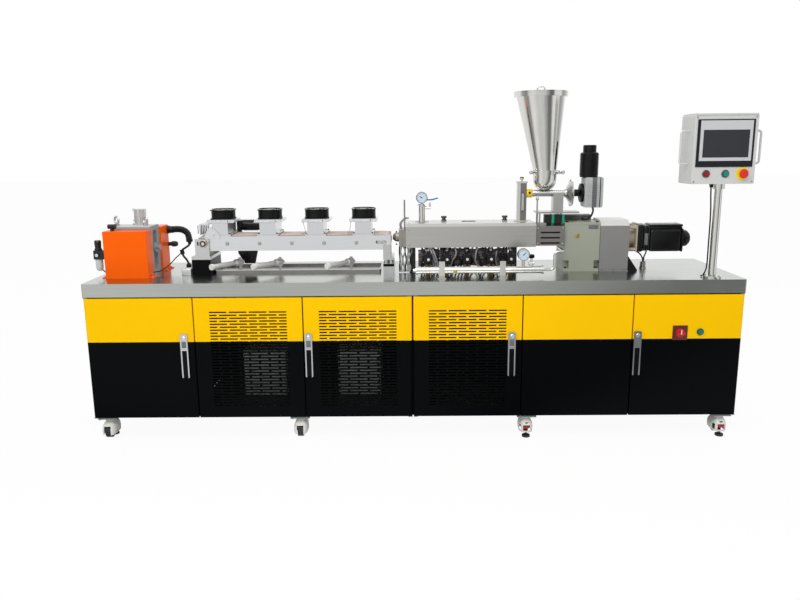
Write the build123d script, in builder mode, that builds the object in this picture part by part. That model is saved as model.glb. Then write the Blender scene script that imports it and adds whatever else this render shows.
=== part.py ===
from build123d import *
import os

# A bench-mounted pelletizing line: twin-screw extruder, air-cooled belt and pelletizer.
# Millimetres. X runs along the bench towards the drive motor, Y runs to the back,
# Z is up, and the origin is on the floor under the middle of the bench.

os.makedirs("parts", exist_ok=True)

# Fits shared by the whole line: the play between seated pieces, the hairline between
# plates, and how deep a fused piece starts in its carrier
seat = 0.3
pin_clearance = 0.08
gap = 0.4
sink = 1

# Bench
bench_length = 3000
bench_depth = 628
bench_height = 750
top_sheet = 3
apron_drop = 62
top_corner = 6
tube = 40
frame_inset = 8
cabinet_bottom = 107
top_rail = 60
panel_sheet = 3
floor_sheet = 3
bay_count = 6

# Doors and fixed front panels
door_gap = 6
door_bottom = 112
door_thickness = 20
door_sheet = 2
door_setoff = 10
stile_margin = 4
pin_radius = 3
pin_depth = 22
hinge_plate = 3
hinge_reach = 8
hinge_gap = 1
slot_length = 80
slot_height = 6.5
slot_pitch = 91
row_pitch = 13.95
grille_side_margin = 130
grille_top_margin = 63
grille_bottom_margin = 46

# Swing handles
handle_width = 34
handle_height = 208
handle_corner = 6
handle_proud = 9
handle_lift = 196
handle_from_edge = {1: 45, -1: 20}
lever_width = 19
lever_thickness = 8
lever_reach = 120
lever_end_gap = 1
recess_length = 130
lever_pin = 2.2
lever_gap = 1.5
recess_skin = 0.5
pin_inset = 3

# Switch and lamp on the last door, from its left edge and bottom
switch_from_bay = 215
lamp_from_bay = 306
switch_lift = 394
lamp_lift = 398
switch_plate = 62
switch_corner = 3
switch_plate_thickness = 2
switch_knob_radius = 21
switch_knob_depth = 8
switch_wing = (36, 12, 12)
lamp_steps = ((15, 4), (11, 6))

# Levelling casters
caster_from_end = 59
caster_from_seam = 32
caster_from_side = 56
caster_plate = 90
caster_plate_thickness = 5
housing_width = 60
housing_radius = 41
housing_skirt = 24
wheel_radius = 32
wheel_width = 26
wheel_lift = 5
wheel_room = 3
mouth_lift = 13
axle_radius = 5
axle_inset = 2
wheel_offset = 20
foot_offset = 32
foot_radius = 19
foot_thickness = 9
foot_screw = 6
foot_bore_top = 78
thumb_radius = 17
thumb_height = 12
thumb_z = 44

# Water tanks behind the left grilles
tank_size = (210, 300, 230)
tank_corner = 12
tank_shift = (30, -10)
tank_y = 20

# Pelletizer, from the left end of the bench
pel_from_end = 160
pel_width = 204
front_cover_y = (-170, -92)
rear_cover_y = (42, 158)
cover_height = 221
cover_corner = 3
cover_foot = (20, 24, 4)
cover_foot_inset = 22
slab_height = 236
slab_width = 188
slab_crown = 12
slab_recess = (62, 190, 26, 14)
hub_z = 129
hub_y = -25
hub_steps = ((24, 6), (9, 14), (15, 4))
press_x = 20
press_y = 6
press_size = 50
press_corner = 12
press_height = 75
press_base = (62, 8)
press_grooves = (11, 4, 3)
port_rod = (5, 10)
port_levels = (22, 74)
eye_x = (-75, 63)
eye_y = -50
eye_ring = 17
eye_wire = 5
eye_turn = 40
eye_foot = (13, 10)

# Air filter-regulator and air fitting
filter_out = 18
filter_y = -130
filter_half = 18
filter_z = (88, 130)
filter_knob = ((17, 0), (17, 8), (14, 10), (16, 40), (13, 47))
filter_bowl = ((5, -57), (12, -54), (17, -42), (17, 0))
filter_dial = (9, 9)
fitting_x = -68
fitting_y = -130
fitting_post = (9, 20)
fitting_body = (11, 36)

# Conveyor, between the pelletizer and the die
belt_from_end = 472
belt_to_die = 69
belt_half_width = 78
side_gap = 6
side_sheet = 4
side_z = (116, 185)
side_insets = (58, 4)
belt_proud = 3
belt_thickness = 2.5
end_roller = 33
shaft_radius = 6
idler_from_left = 148
idler_margin = 60
idler_lift = 34
idler_pitch = 154
idler_radius = 6
adjust_slot = (53, 14)
adjust_from_right = 44
bearing_x = (-5, 62)
bearing_z = (90, 174)
bearing_depth = 10
bearing_ring = (17, 5)
left_foot_x = (-25, 66)
right_foot_x = (-40, 12)
right_foot_z = (50, 68, 76)
right_ear_z = 142
rubber_radius = 9
rubber_inset = (14, 12)
foot_half_width = 98
drive_x = (157, 270)
drive_z = 217
drive_radius = 26
drive_head = 21
drive_ribs = (9, 4, 2)
drive_from_side = 36
chain_case = ((157, 191), (157, 80), (190, 28), (240, 28), (255, 90), (255, 110), (200, 150), (178, 191))
chain_depth = 14

# Cooling ducts and fans
fan_from_left = 116
fan_margin = 140
fan_pitch = 227
fan_radius = 57
fan_thick = 45
fan_wall = 3
fan_rim = (2, 4)
fan_tabs = (104, 4)
fan_plate = 132
fan_plate_thickness = 10
duct_size = 76
duct_wall = 2
duct_flange = 12
duct_base = 3
duct_crown = 3
duct_lift = 7
fan_lift = 262
duct_lid = 13
rotor_hub = 21
rotor_radius = 52
rotor_gap = 3
blade_count = 7
blade = (3, 24, 35)
guard_rings = (16, 30, 44, 57)
guard_wire = 2.4
spider = 5
louvre_x = 19
louvre_top = 244
louvre_sheet = 3
bracket_points = ((43, 175), (115, 175), (115, 193), (80, 231), (68, 231), (43, 193))
bracket_sheet = 4
bracket_roller = (9, 24)

# Strand tray and guide rolls
tray_ends = (3, 54)
tray_y = (-50, 150)
tray_height = 16
tray_sheet = 2
tray_corner = 8
guide_places = (0.197, 0.409, 0.784)
guide_y = 4
guide_z = 47
guide_post = 7
guide_foot = (16, 5)
guide_radius = 12
guide_length = 186
guide_turn = 34
guide_cap = (14, 12)
clamp_sleeve = (13, 34)
clamp_ring = (18, 30)
clamp_knob = (9, 22)

# Extruder barrel and cover, from the right end of the bench
cover_x = (1528, 910)
cover_y = (-85, 120)
cover_z = (123, 236)
cover_bevel = 13
cover_slots = (68, 32, 12)
cover_slot_x = 306
port_x = 78
vent_post_x = 560
plug_x = (188, 488)
plug_steps = ((13, 6), (9, 8), (14, 9))
plug_y = 72
vent_slots = (140, 165, 190)
vent_slot = 8
vent_inset = 22
vent_margin = 8
vent_drop = 16
vent_lift = 4
die_block = (34, 84)
die_box = (30, 46)
die_y = 8
die_z = 165
sensor_rod = (4, 9)
sensor_x = -6
sensor_y = -44
sensor_top = 348
terminal = (22, 205)
support_width = 30
support_x = (16, 166, 508)
support_foot_y = (-50, 80)
support_y = (-20, 50)
support_foot = 8

# Water manifold and valves
manifold_y = -215
manifold_z = 35
manifold_radius = 16
manifold_ends = (56, 5)
manifold_cap = (19, 10)
manifold_posts = (164, 443)
post_size = (27, 20, 80)
post_foot = (40, 54, 4)
pipe_radius = 6
pipe_bend = 18
pipe_turns = (60, 83, 105)
valve_x = (105, 193, 287, 400, 493)
valve_y = -120
valve_body = (32, 44, 29)
valve_body_z = 24
coil = (40, 44, 46)
coil_corner = 7
coil_nut = (9, 13)
valve_plug = (13, 14, 26)
valve_pipe = 8
valve_foot = 20

# Gauges and ports on the barrel
gauge_radius = 28
gauge_depth = 28
gauge_dish = 3
gauge_x = 540
gauge_z = 106
gauge_stem = 7
port_radius = 16
port_top = 324
port_clamp = (26, 12)
port_lever = (5, 44, 20)
port_gauge_z = 354
vent_post_size = (45, 32)
vent_post_top = 428
vent_post_cap = (4, 8)
vent_post_slot = (14, 112, 8)
vent_post_knob = (5, 16)

# Gearbox, coupling and motor, from the right end of the bench
gearbox_x = (772, 600)
gearbox_y = (-62, 110)
gearbox_top = 235
gearbox_seam = (12, 1.5)
gearbox_pocket = (26, 26, 14, 39)
coupling_end = 463
coupling_top = 244
coupling_bevel = 26
coupling_foot = (8, 4)
lantern = (62, 8, 9, 40)
motor_x = (415, 193)
motor_y = 20
motor_z = 153
motor_flange = (62, 34, 12)
motor_body = (66, 30)
motor_box = (40, 44, 30, 4)
motor_cap = ((43, 0), (43, 34), (38, 43), (26, 45))
cap_rings = (10, 4, 2.5)

# Feeder
hopper_top_x = 888
hopper_low_x = 858
hopper_y = 20
hopper_top = 1590
hopper_band = 22
hopper_top_radius = 113
hopper_rim = 126
hopper_mid = 1222
hopper_mid_radius = 55
hopper_wall = 2
bowl = (84, 56, 28, 6)
bowl_radii = (44, 24)
hopper_clamp = (61, 12)
clamp_ear = (18, 12, 10)
feed_tube_z = 370
feed_tube_radius = 17
feed_tube_ends = (945, 762)
tube_cap = (20, 27)
disc_profile = ((20, 0), (24, 8), (52, 26), (65, 29), (65, 34))
neck = (17, 34)
bell = (45, 22)
worm_box = (86, 302, 445)
worm_depth = 44
worm_ribs = (12, 5, 3)
worm_corner = 8
feeder_motor = ((42, 0), (42, 112), (38, 116), (31, 116), (31, 148), (28, 151))
motor_grooves = (8, 4, 2.5)
motor_inset = 24
base_plate = (900, 696, 276, 284)
base_half_width = 48
base_leg = 8
leg_x = (888, 786)
bracket_x = (818, 770)
bracket_half = 26
link_x = 893
link_rod = 4
link_ball = 8
link_top = 346
link_y = -18
connector_x = (868, 776)
connector_z = (234, 274)
connector_foot = 12
connector_y = (-70, -30)
connector_bands = (30, 10, 1)
trunking = (760, 623, 28)
trunking_y = (40, 90)
trunking_slots = (8, 4, 12)
trunk_wall = 3
lid_sheet = 2.5
lid_handle = (17, 22, 3.5)

# Operator panel, from the right end of the bench
box_x = (288, 16)
box_z = (1174, 1467)
box_overhang = 12
box_depth = 150
box_corner = 4
roof_lip = (4, 6)
frame_x = (275, 30)
frame_z = (1247, 1448)
frame_proud = 3
bezel_x = (263, 40)
bezel_z = (1273, 1443)
bezel_proud = 3
screen_x = (250, 52)
screen_z = (1287, 1404)
screen_sunk = 1.5
grip_reach = 42
grip_radius = 5
grip_bend = 12
grip_z = (1260, 1400)
grip_from_front = 50
button_z = 1218
button_x = (226, 143)
button_steps = ((15, 4), (11, 6))
stop_x = 70
stop_stem = 11
stop_disc = (27, 3)
stop_cap = ((11, 0), (18, 2), (20, 7), (18, 10), (10, 11))
stop_proud = 12
stop_bore_depth = 12
stop_stem_depth = 6
pole_radius = 17
pole_from_end = 140
pole_from_front = 50
pole_flange = (40, 10)
pole_collar = (25, 24)

deck = bench_height
half_length = bench_length / 2
half_depth = bench_depth / 2
left_end = -half_length
bay = bench_length / bay_count
door_front = -half_depth
door_back = door_front + door_thickness
door_axis_y = door_front + door_thickness / 2
door_top = deck - apron_drop - door_gap
door_height = door_top - door_bottom
grille_top = door_top - grille_top_margin
row_count = int((grille_top - door_bottom - grille_bottom_margin) / row_pitch)
slots_across = int((bay - grille_side_margin) / slot_pitch)
handle_bottom = door_bottom + handle_lift
frame_front = door_back + door_setoff
frame_back = half_depth - frame_inset
frame_end = half_length - frame_inset
frame_top = bench_height - top_sheet - seat
post_bottom = cabinet_bottom + tube + gap
post_top = frame_top - top_rail - gap
rail_rows = [frame_front + tube / 2, frame_back - tube / 2]
stations = [-frame_end + tube / 2]
stations += [bay * (i - bay_count / 2) for i in range(1, bay_count)]
stations += [frame_end - tube / 2]


def from_right(value):
    """The place of something measured in from the right end of the bench."""
    return half_length - value


def span_right(pair):
    """Two such places as low and high limits."""
    return (half_length - pair[0], half_length - pair[1])


def up(value):
    """A height measured from the bench top."""
    return deck + value


def block(x, y, z, mode=Mode.ADD):
    """A rectangular block between its low and high limits."""
    with Locations(((x[0] + x[1]) / 2, (y[0] + y[1]) / 2, (z[0] + z[1]) / 2)):
        Box(abs(x[1] - x[0]), abs(y[1] - y[0]), abs(z[1] - z[0]), mode=mode)


def rod(start, end, radius, mode=Mode.ADD):
    """A round bar from one point to another."""
    axis = Vector(*end) - Vector(*start)
    with BuildSketch(Plane(origin=start, z_dir=axis)) as section:
        Circle(radius)
    extrude(section.sketch, amount=axis.length, mode=mode)


def upright(x, y, z, radius, mode=Mode.ADD):
    """A round bar standing between two heights."""
    rod((x, y, z[0]), (x, y, z[1]), radius, mode)


def turned(profile, origin, way=(0, 0, 1), mode=Mode.ADD):
    """A turned piece: radius and distance pairs, closed along its axis."""
    axis = Vector(*way).normalized()
    side = Vector(0, 1, 0) if abs(axis.X) > 0.5 else Vector(1, 0, 0)
    points = [(0, profile[0][1]), *profile, (0, profile[-1][1])]
    with BuildSketch(Plane(origin=origin, x_dir=side, z_dir=side.cross(axis))) as section:
        with BuildLine():
            Polyline(*points, close=True)
        make_face()
    revolve(section.sketch, axis=Axis(origin, tuple(axis)), mode=mode)


def prism(points, plane, depth, mode=Mode.ADD):
    """A flat shape of straight edges, raised from its plane."""
    with BuildSketch(plane) as section:
        with BuildLine():
            Polyline(*points, close=True)
        make_face()
    extrude(section.sketch, amount=depth, mode=mode)


def stack(origin, steps, way):
    """Round steps one on the other: radius and height pairs."""
    at = Vector(*origin)
    axis = Vector(*way)
    for radius, height in steps:
        rod(tuple(at), tuple(at + axis * height), radius)
        at = at + axis * height


def save(piece, name):
    """Label a finished piece and write it."""
    piece.part.label = name
    export_step(piece.part, f"parts/{name}.step")


def ring(x, y, z, outer, inner):
    """A flat ring between two heights."""
    with BuildSketch(Plane.XY.offset(z[0])) as section:
        with Locations((x, y)):
            Circle(outer)
            Circle(inner, mode=Mode.SUBTRACT)
    extrude(section.sketch, amount=z[1] - z[0])


def bent_bar(route, bend, radius):
    """A round bar along a route with rounded corners."""
    start = Vector(*route[0])
    with BuildLine() as path:
        FilletPolyline(*route, radius=bend)
    with BuildSketch(Plane(origin=start, z_dir=Vector(*route[1]) - start)) as section:
        Circle(radius)
    sweep(section.sketch, path=path.line)


# Bench top: a stainless pan with its apron turned down

with BuildPart() as bench_top:
    with BuildSketch(Plane.XY.offset(deck - apron_drop)):
        RectangleRounded(bench_length, bench_depth, top_corner)
    extrude(amount=apron_drop)
    offset(amount=-top_sheet, openings=bench_top.faces().sort_by(Axis.Z)[0])
save(bench_top, "bench_top")

# Cabinet frame: square tubes as separate bars with a hairline between them

with BuildPart() as cabinet_frame:
    for rail_y in rail_rows:
        for x in stations:
            with Locations((x, rail_y, (post_bottom + post_top) / 2)):
                Box(tube, tube, post_top - post_bottom)
        block((-frame_end, frame_end), (rail_y - tube / 2, rail_y + tube / 2),
              (cabinet_bottom, cabinet_bottom + tube))
        block((-frame_end, frame_end), (rail_y - tube / 2, rail_y + tube / 2),
              (frame_top - top_rail, frame_top))
    for x in stations:
        bar_x = (x - tube / 2, x + tube / 2)
        bar_y = (frame_front + tube + gap, frame_back - tube - gap)
        block(bar_x, bar_y, (cabinet_bottom, cabinet_bottom + tube))
        block(bar_x, bar_y, (frame_top - top_rail, frame_top))
    for low, high in zip(stations[:-1], stations[1:]):
        block((low + tube / 2 + gap, high - tube / 2 - gap), (frame_front, frame_back),
              (cabinet_bottom + tube + gap, cabinet_bottom + tube + gap + floor_sheet))
save(cabinet_frame, "cabinet_frame")

with BuildPart() as cabinet_panels:
    for side in (-1, 1):
        end = sorted((side * (frame_end + gap), side * (frame_end + gap + panel_sheet)))
        block(end, (frame_front, frame_back), (door_bottom, door_top))
    for i in range(bay_count):
        left = left_end + bay * i + door_gap / 2
        block((left, left + bay - door_gap), (frame_back + gap, frame_back + gap + panel_sheet),
              (door_bottom, door_top))
save(cabinet_panels, "cabinet_panels")


# Doors: folded pans with a rolled hinge stile, a rib of slots and a swing-handle plate

def grille_points():
    """Centres and widths of the staggered slots, measured from the grille's centre."""
    full = []
    short = []
    edge = (slots_across - 1) / 2 * slot_pitch + slot_length / 2
    inner = edge - slot_pitch / 2 + (slot_pitch - slot_length)
    for row in range(row_count):
        z = grille_top - slot_height / 2 - row * row_pitch
        across = slots_across - row % 2
        full += [((i - (across - 1) / 2) * slot_pitch, z) for i in range(across)]
        if row % 2:
            short += [(side * (edge + inner) / 2, z) for side in (-1, 1)]
    return full, short, edge - inner


def panel_span(index):
    """The left and right edges of one bay's door or panel."""
    left = left_end + bay * index + door_gap / 2
    return left, left + bay - door_gap


def handle_place(index, handle):
    """The middle of a handle plate near the left (-1) or right (1) edge."""
    left, right = panel_span(index)
    return right - handle_from_edge[1] if handle > 0 else left + handle_from_edge[-1]


def panel(index, hinge=0, handle=0, grille=False):
    """A front panel of one bay: hinge and handle give the side, -1 left or 1 right."""
    left, right = panel_span(index)
    middle = (left + right) / 2
    hinge_x = middle + hinge * ((right - left) / 2 - door_thickness / 2)
    stile = door_thickness + stile_margin
    back = door_back if hinge else frame_front
    with BuildPart() as pan:
        with BuildSketch(Plane.XY.offset(door_bottom)):
            low = left + (door_thickness / 2 if hinge < 0 else 0)
            high = right - (door_thickness / 2 if hinge > 0 else 0)
            with Locations(((low + high) / 2, (door_front + back) / 2)):
                Rectangle(high - low, back - door_front)
            if hinge:
                with Locations((hinge_x, door_axis_y)):
                    Circle(door_thickness / 2)
        extrude(amount=door_height)
        block((left + (stile if hinge < 0 else door_sheet),
               right - (stile if hinge > 0 else door_sheet)),
              (door_front + door_sheet, back),
              (door_bottom + door_sheet, door_top - door_sheet), Mode.SUBTRACT)
        if hinge:
            for z in (door_bottom, door_top - pin_depth):
                upright(hinge_x, door_axis_y, (z, z + pin_depth),
                        pin_radius + pin_clearance, Mode.SUBTRACT)
        if grille:
            full, short, short_length = grille_points()
            with BuildSketch(Plane.XZ.offset(-door_front)):
                with Locations([(middle + x, z) for x, z in full]):
                    Rectangle(slot_length, slot_height)
                with Locations([(middle + x, z) for x, z in short]):
                    Rectangle(short_length, slot_height)
            extrude(amount=-2 * door_sheet, mode=Mode.SUBTRACT)
        if handle:
            x = handle_place(index, handle)
            with BuildSketch(Plane.XZ.offset(-door_front)):
                with Locations((x, handle_bottom + handle_height / 2)):
                    RectangleRounded(handle_width, handle_height, handle_corner)
            extrude(amount=handle_proud)
            recess = (handle_bottom, handle_bottom + recess_length)
            half = lever_width / 2 + lever_gap
            block((x - half, x + half), (door_front - handle_proud, door_front - recess_skin),
                  recess, Mode.SUBTRACT)
            pin = handle_width / 2 - pin_inset
            rod((x - pin, lever_axis_y, lever_axis_z), (x + pin, lever_axis_y, lever_axis_z),
                lever_pin + pin_clearance, Mode.SUBTRACT)
    return pan


def lever(index, handle):
    """The pull lever that lies in a handle plate and swings out about its top pin."""
    x = handle_place(index, handle)
    pin = handle_width / 2 - pin_inset - lever_end_gap
    with BuildPart() as grip:
        with BuildSketch(Plane.YZ.offset(x - lever_width / 2)):
            with Locations((lever_axis_y, lever_axis_z)):
                Circle(lever_thickness / 2)
            with Locations((lever_axis_y, lever_axis_z - lever_reach / 2)):
                Rectangle(lever_thickness, lever_reach)
        extrude(amount=lever_width)
        fillet(grip.edges().filter_by(Axis.Y).group_by(Axis.Z)[0], lever_width / 3)
        rod((x - pin, lever_axis_y, lever_axis_z), (x + pin, lever_axis_y, lever_axis_z), lever_pin)
    return grip


lever_axis_z = handle_bottom + recess_length - lever_end_gap - lever_thickness / 2
lever_axis_y = door_front - handle_proud + lever_thickness / 2
save(panel(0, hinge=-1, handle=1), "door_1")
save(panel(2, hinge=1, handle=-1, grille=True), "door_3")
save(panel(3, hinge=-1, handle=1, grille=True), "door_4")
fixed_panels = [panel(1, grille=True), panel(4)]
with BuildPart() as front_panels:
    add([fixed.part for fixed in fixed_panels])
save(front_panels, "front_panels")
save(panel(5, hinge=1, handle=-1), "door_6")
save(lever(0, 1), "handle_lever_1")
save(lever(2, -1), "handle_lever_3")
save(lever(3, 1), "handle_lever_4")
save(lever(5, -1), "handle_lever_6")

# Hinge pins: an angle plate on each post with a pin into the door stile

with BuildPart() as hinge_pins:
    for index, side in ((0, -1), (2, 1), (3, -1), (5, 1)):
        middle = left_end + bay * (index + 0.5)
        x = middle + side * ((bay - door_gap) / 2 - door_thickness / 2)
        plate_x = (x - door_thickness / 2, x + door_thickness / 2)
        top = door_top + hinge_gap
        low = door_bottom - hinge_gap
        pin = pin_depth - 2 * hinge_gap
        for plate, pin_z in (((top, top + hinge_plate), (door_top - pin, top)),
                             ((low - hinge_plate, low), (low, door_bottom + pin))):
            block(plate_x, (door_axis_y - hinge_reach, frame_front), plate)
            upright(x, door_axis_y, pin_z, pin_radius)
save(hinge_pins, "hinge_pins")

# Main switch and pilot lamp

switch_x = half_length - bay + switch_from_bay
lamp_x = half_length - bay + lamp_from_bay
switch_z = door_bottom + switch_lift
switch_front = door_front - switch_plate_thickness
with BuildPart() as switch_plate_and_lamp:
    with BuildSketch(Plane.XZ.offset(-door_front)):
        with Locations((switch_x, switch_z)):
            RectangleRounded(switch_plate, switch_plate, switch_corner)
    extrude(amount=switch_plate_thickness)
    stack((lamp_x, door_front, door_bottom + lamp_lift), lamp_steps, (0, -1, 0))
save(switch_plate_and_lamp, "switch_plate_and_lamp")

with BuildPart() as main_switch_knob:
    knob_face = switch_front - switch_knob_depth
    rod((switch_x, switch_front - seat, switch_z), (switch_x, knob_face, switch_z),
        switch_knob_radius)
    block((switch_x - switch_wing[0] / 2, switch_x + switch_wing[0] / 2),
          (knob_face - switch_wing[1], knob_face),
          (switch_z - switch_wing[2] / 2, switch_z + switch_wing[2] / 2))
    fillet(main_switch_knob.edges().filter_by(Axis.Y), switch_corner)
save(main_switch_knob, "main_switch_knob")


# Levelling casters: a white shell over a wheel at one end and a screw foot at the other

def caster_places():
    """Plate centres with the way that the wheel points, -1 to the front or 1 to the back."""
    outer = half_length - caster_from_end
    inner = bay + caster_from_seam
    across = half_depth - caster_from_side
    places = ((-outer, -1), (-inner, -1), (inner, 1), (outer, 1))
    return [(x, side * across, way) for side in (-1, 1) for x, way in places]


housing_top = cabinet_bottom - caster_plate_thickness
axle_z = wheel_lift + wheel_radius
room = wheel_width / 2 + wheel_room
with BuildPart() as caster_housings:
    for x, y, way in caster_places():
        wheel_y = y + way * wheel_offset
        foot_y = y - way * foot_offset
        body_y = sorted((y, foot_y - way * wheel_offset))
        with BuildSketch(Plane.YZ.offset(x - housing_width / 2)):
            with Locations((wheel_y, housing_top - housing_radius - wheel_room)):
                Circle(housing_radius)
            with Locations((sum(body_y) / 2, (housing_skirt + housing_top) / 2)):
                Rectangle(body_y[1] - body_y[0], housing_top - housing_skirt)
        extrude(amount=housing_width)
        block((x - housing_width, x + housing_width), (y - 2 * housing_radius, y + 2 * housing_radius),
              (0, housing_skirt - wheel_room), Mode.SUBTRACT)
        rod((x - room, wheel_y, axle_z), (x + room, wheel_y, axle_z), wheel_radius + wheel_room,
            Mode.SUBTRACT)
        axle = housing_width / 2 - axle_inset + seat
        rod((x - axle, wheel_y, axle_z), (x + axle, wheel_y, axle_z), axle_radius + seat, Mode.SUBTRACT)
        mouth = sorted((wheel_y, wheel_y + way * 2 * wheel_radius))
        block((x - room, x + room), mouth, (0, axle_z + mouth_lift), Mode.SUBTRACT)
        upright(x, foot_y, (0, foot_bore_top), thumb_radius + wheel_room, Mode.SUBTRACT)
        half = caster_plate / 2
        block((x - half, x + half), (y - half, y + half), (housing_top, cabinet_bottom))
save(caster_housings, "caster_housings")

with BuildPart() as caster_wheels:
    for x, y, way in caster_places():
        wheel_y = y + way * wheel_offset
        axle = housing_width / 2 - axle_inset
        rod((x - wheel_width / 2, wheel_y, axle_z), (x + wheel_width / 2, wheel_y, axle_z), wheel_radius)
        rod((x - axle, wheel_y, axle_z), (x + axle, wheel_y, axle_z), axle_radius)
save(caster_wheels, "caster_wheels")

with BuildPart() as levelling_feet:
    for x, y, way in caster_places():
        foot_y = y - way * foot_offset
        upright(x, foot_y, (0, foot_thickness), foot_radius)
        upright(x, foot_y, (foot_thickness, foot_bore_top - seat), foot_screw)
        upright(x, foot_y, (thumb_z, thumb_z + thumb_height), thumb_radius)
save(levelling_feet, "levelling_feet")

# Water tank inside the cabinet: two bodies behind the left grilles

floor_top = cabinet_bottom + tube + gap + floor_sheet
with BuildPart() as water_tank:
    with BuildSketch(Plane.XY.offset(floor_top)):
        for share, shift in zip((-1.5, -0.5), tank_shift):
            with Locations((bay * share + shift, tank_y)):
                RectangleRounded(tank_size[0], tank_size[1], tank_corner)
    extrude(amount=tank_size[2])
save(water_tank, "water_tank")

# Pelletizer: two covers with the cutter slab between them

pel_x = left_end + pel_from_end
pel_span = (pel_x - pel_width / 2, pel_x + pel_width / 2)
with BuildPart() as pelletizer_covers:
    for limits in (front_cover_y, rear_cover_y):
        block(pel_span, limits, (deck, up(cover_height)))
    fillet(pelletizer_covers.edges().filter_by(Axis.Z), cover_corner)
    fillet(pelletizer_covers.edges().filter_by(Axis.X).group_by(Axis.Z)[-1], cover_corner)
    for limits in (front_cover_y, rear_cover_y):
        for side, x in ((-1, pel_span[0]), (1, pel_span[1])):
            for y in (limits[0] + cover_foot_inset, limits[1] - cover_foot_inset):
                foot = sorted((x - side * cover_corner, x + side * cover_foot[0]))
                block(foot, (y - cover_foot[1] / 2, y + cover_foot[1] / 2), (deck, up(cover_foot[2])))
save(pelletizer_covers, "pelletizer_covers")

slab_y = (front_cover_y[1] + seat, rear_cover_y[0] - seat)
slab_top = up(slab_height)
hub_x = pel_x + slab_width / 2
with BuildPart() as cutter_housing:
    block((pel_x - slab_width / 2, hub_x), slab_y, (deck, slab_top))
    fillet(cutter_housing.edges().filter_by(Axis.X).group_by(Axis.Z)[-1], slab_crown)
    for side in (-1, 1):
        with BuildSketch(Plane.YZ.offset(pel_x + side * slab_width / 2)):
            with Locations((sum(slab_y) / 2, (deck + slab_top) / 2)):
                RectangleRounded(*slab_recess[:3])
        extrude(amount=-side * slab_recess[3], mode=Mode.SUBTRACT)
    stack((hub_x - slab_recess[3], hub_y, up(hub_z)), ((hub_steps[0][0], slab_recess[3]), *hub_steps),
          (1, 0, 0))
save(cutter_housing, "cutter_housing")

press = (pel_x + press_x, press_y)
with BuildPart() as press_cylinder:
    with BuildSketch(Plane.XY.offset(slab_top)):
        with Locations(press):
            RectangleRounded(press_base[0], press_base[0], press_corner)
    extrude(amount=press_base[1])
    with BuildSketch(Plane.XY.offset(slab_top + press_base[1])):
        with Locations(press):
            RectangleRounded(press_size, press_size, press_corner)
        for turn in range(4):
            along = Vector(press_size / 2, 0).rotate(Axis.Z, 90 * turn)
            across = Vector(0, press_grooves[0]).rotate(Axis.Z, 90 * turn)
            with Locations([(press[0] + along.X + side * across.X, press[1] + along.Y + side * across.Y)
                            for side in (-1, 1)]):
                Circle(press_grooves[1], mode=Mode.SUBTRACT)
    extrude(amount=press_height - press_base[1])
    for level in port_levels:
        port_z = slab_top + level
        rod((press[0] - press_size / 2, press[1], port_z),
            (press[0] - press_size / 2 - port_rod[1], press[1], port_z), port_rod[0])
save(press_cylinder, "press_cylinder")

eye_z = slab_top + eye_foot[1] + eye_ring
with BuildPart() as lifting_eyes:
    for x in (pel_x + eye_x[0], pel_x + eye_x[1]):
        upright(x, eye_y, (slab_top, slab_top + eye_foot[1]), eye_foot[0])
        aside = Vector(eye_ring, 0).rotate(Axis.Z, -eye_turn)
        with BuildSketch(Plane(origin=(x + aside.X, eye_y + aside.Y, eye_z), z_dir=(0, 0, 1))) as wire:
            Circle(eye_wire)
        facing = Vector(0, 1).rotate(Axis.Z, -eye_turn)
        revolve(wire.sketch, axis=Axis((x, eye_y, eye_z), tuple(facing)))
save(lifting_eyes, "lifting_eyes")

filter_x = left_end + filter_out
filter_mid = up(sum(filter_z) / 2)
fitting = (pel_x + fitting_x, fitting_y)
with BuildPart() as air_fittings:
    block((filter_x - filter_half, pel_span[0] - seat), (filter_y - filter_half, filter_y + filter_half),
          (up(filter_z[0]), up(filter_z[1])))
    turned(filter_knob, (filter_x, filter_y, up(filter_z[1])))
    turned(filter_bowl, (filter_x, filter_y, up(filter_z[0])))
    rod((filter_x, filter_y - filter_half, filter_mid),
        (filter_x, filter_y - filter_half - filter_dial[1], filter_mid), filter_dial[0])
    post_z = (up(cover_height), up(cover_height + fitting_post[1]))
    upright(*fitting, post_z, fitting_post[0])
    rod((fitting[0] - fitting_body[1] / 2, fitting[1], post_z[1]),
        (fitting[0] + fitting_body[1] / 2, fitting[1], post_z[1]), fitting_body[0])
save(air_fittings, "air_fittings")

# Conveyor: side plates with cross rods, the endless belt on two rollers, and its feet

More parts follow.
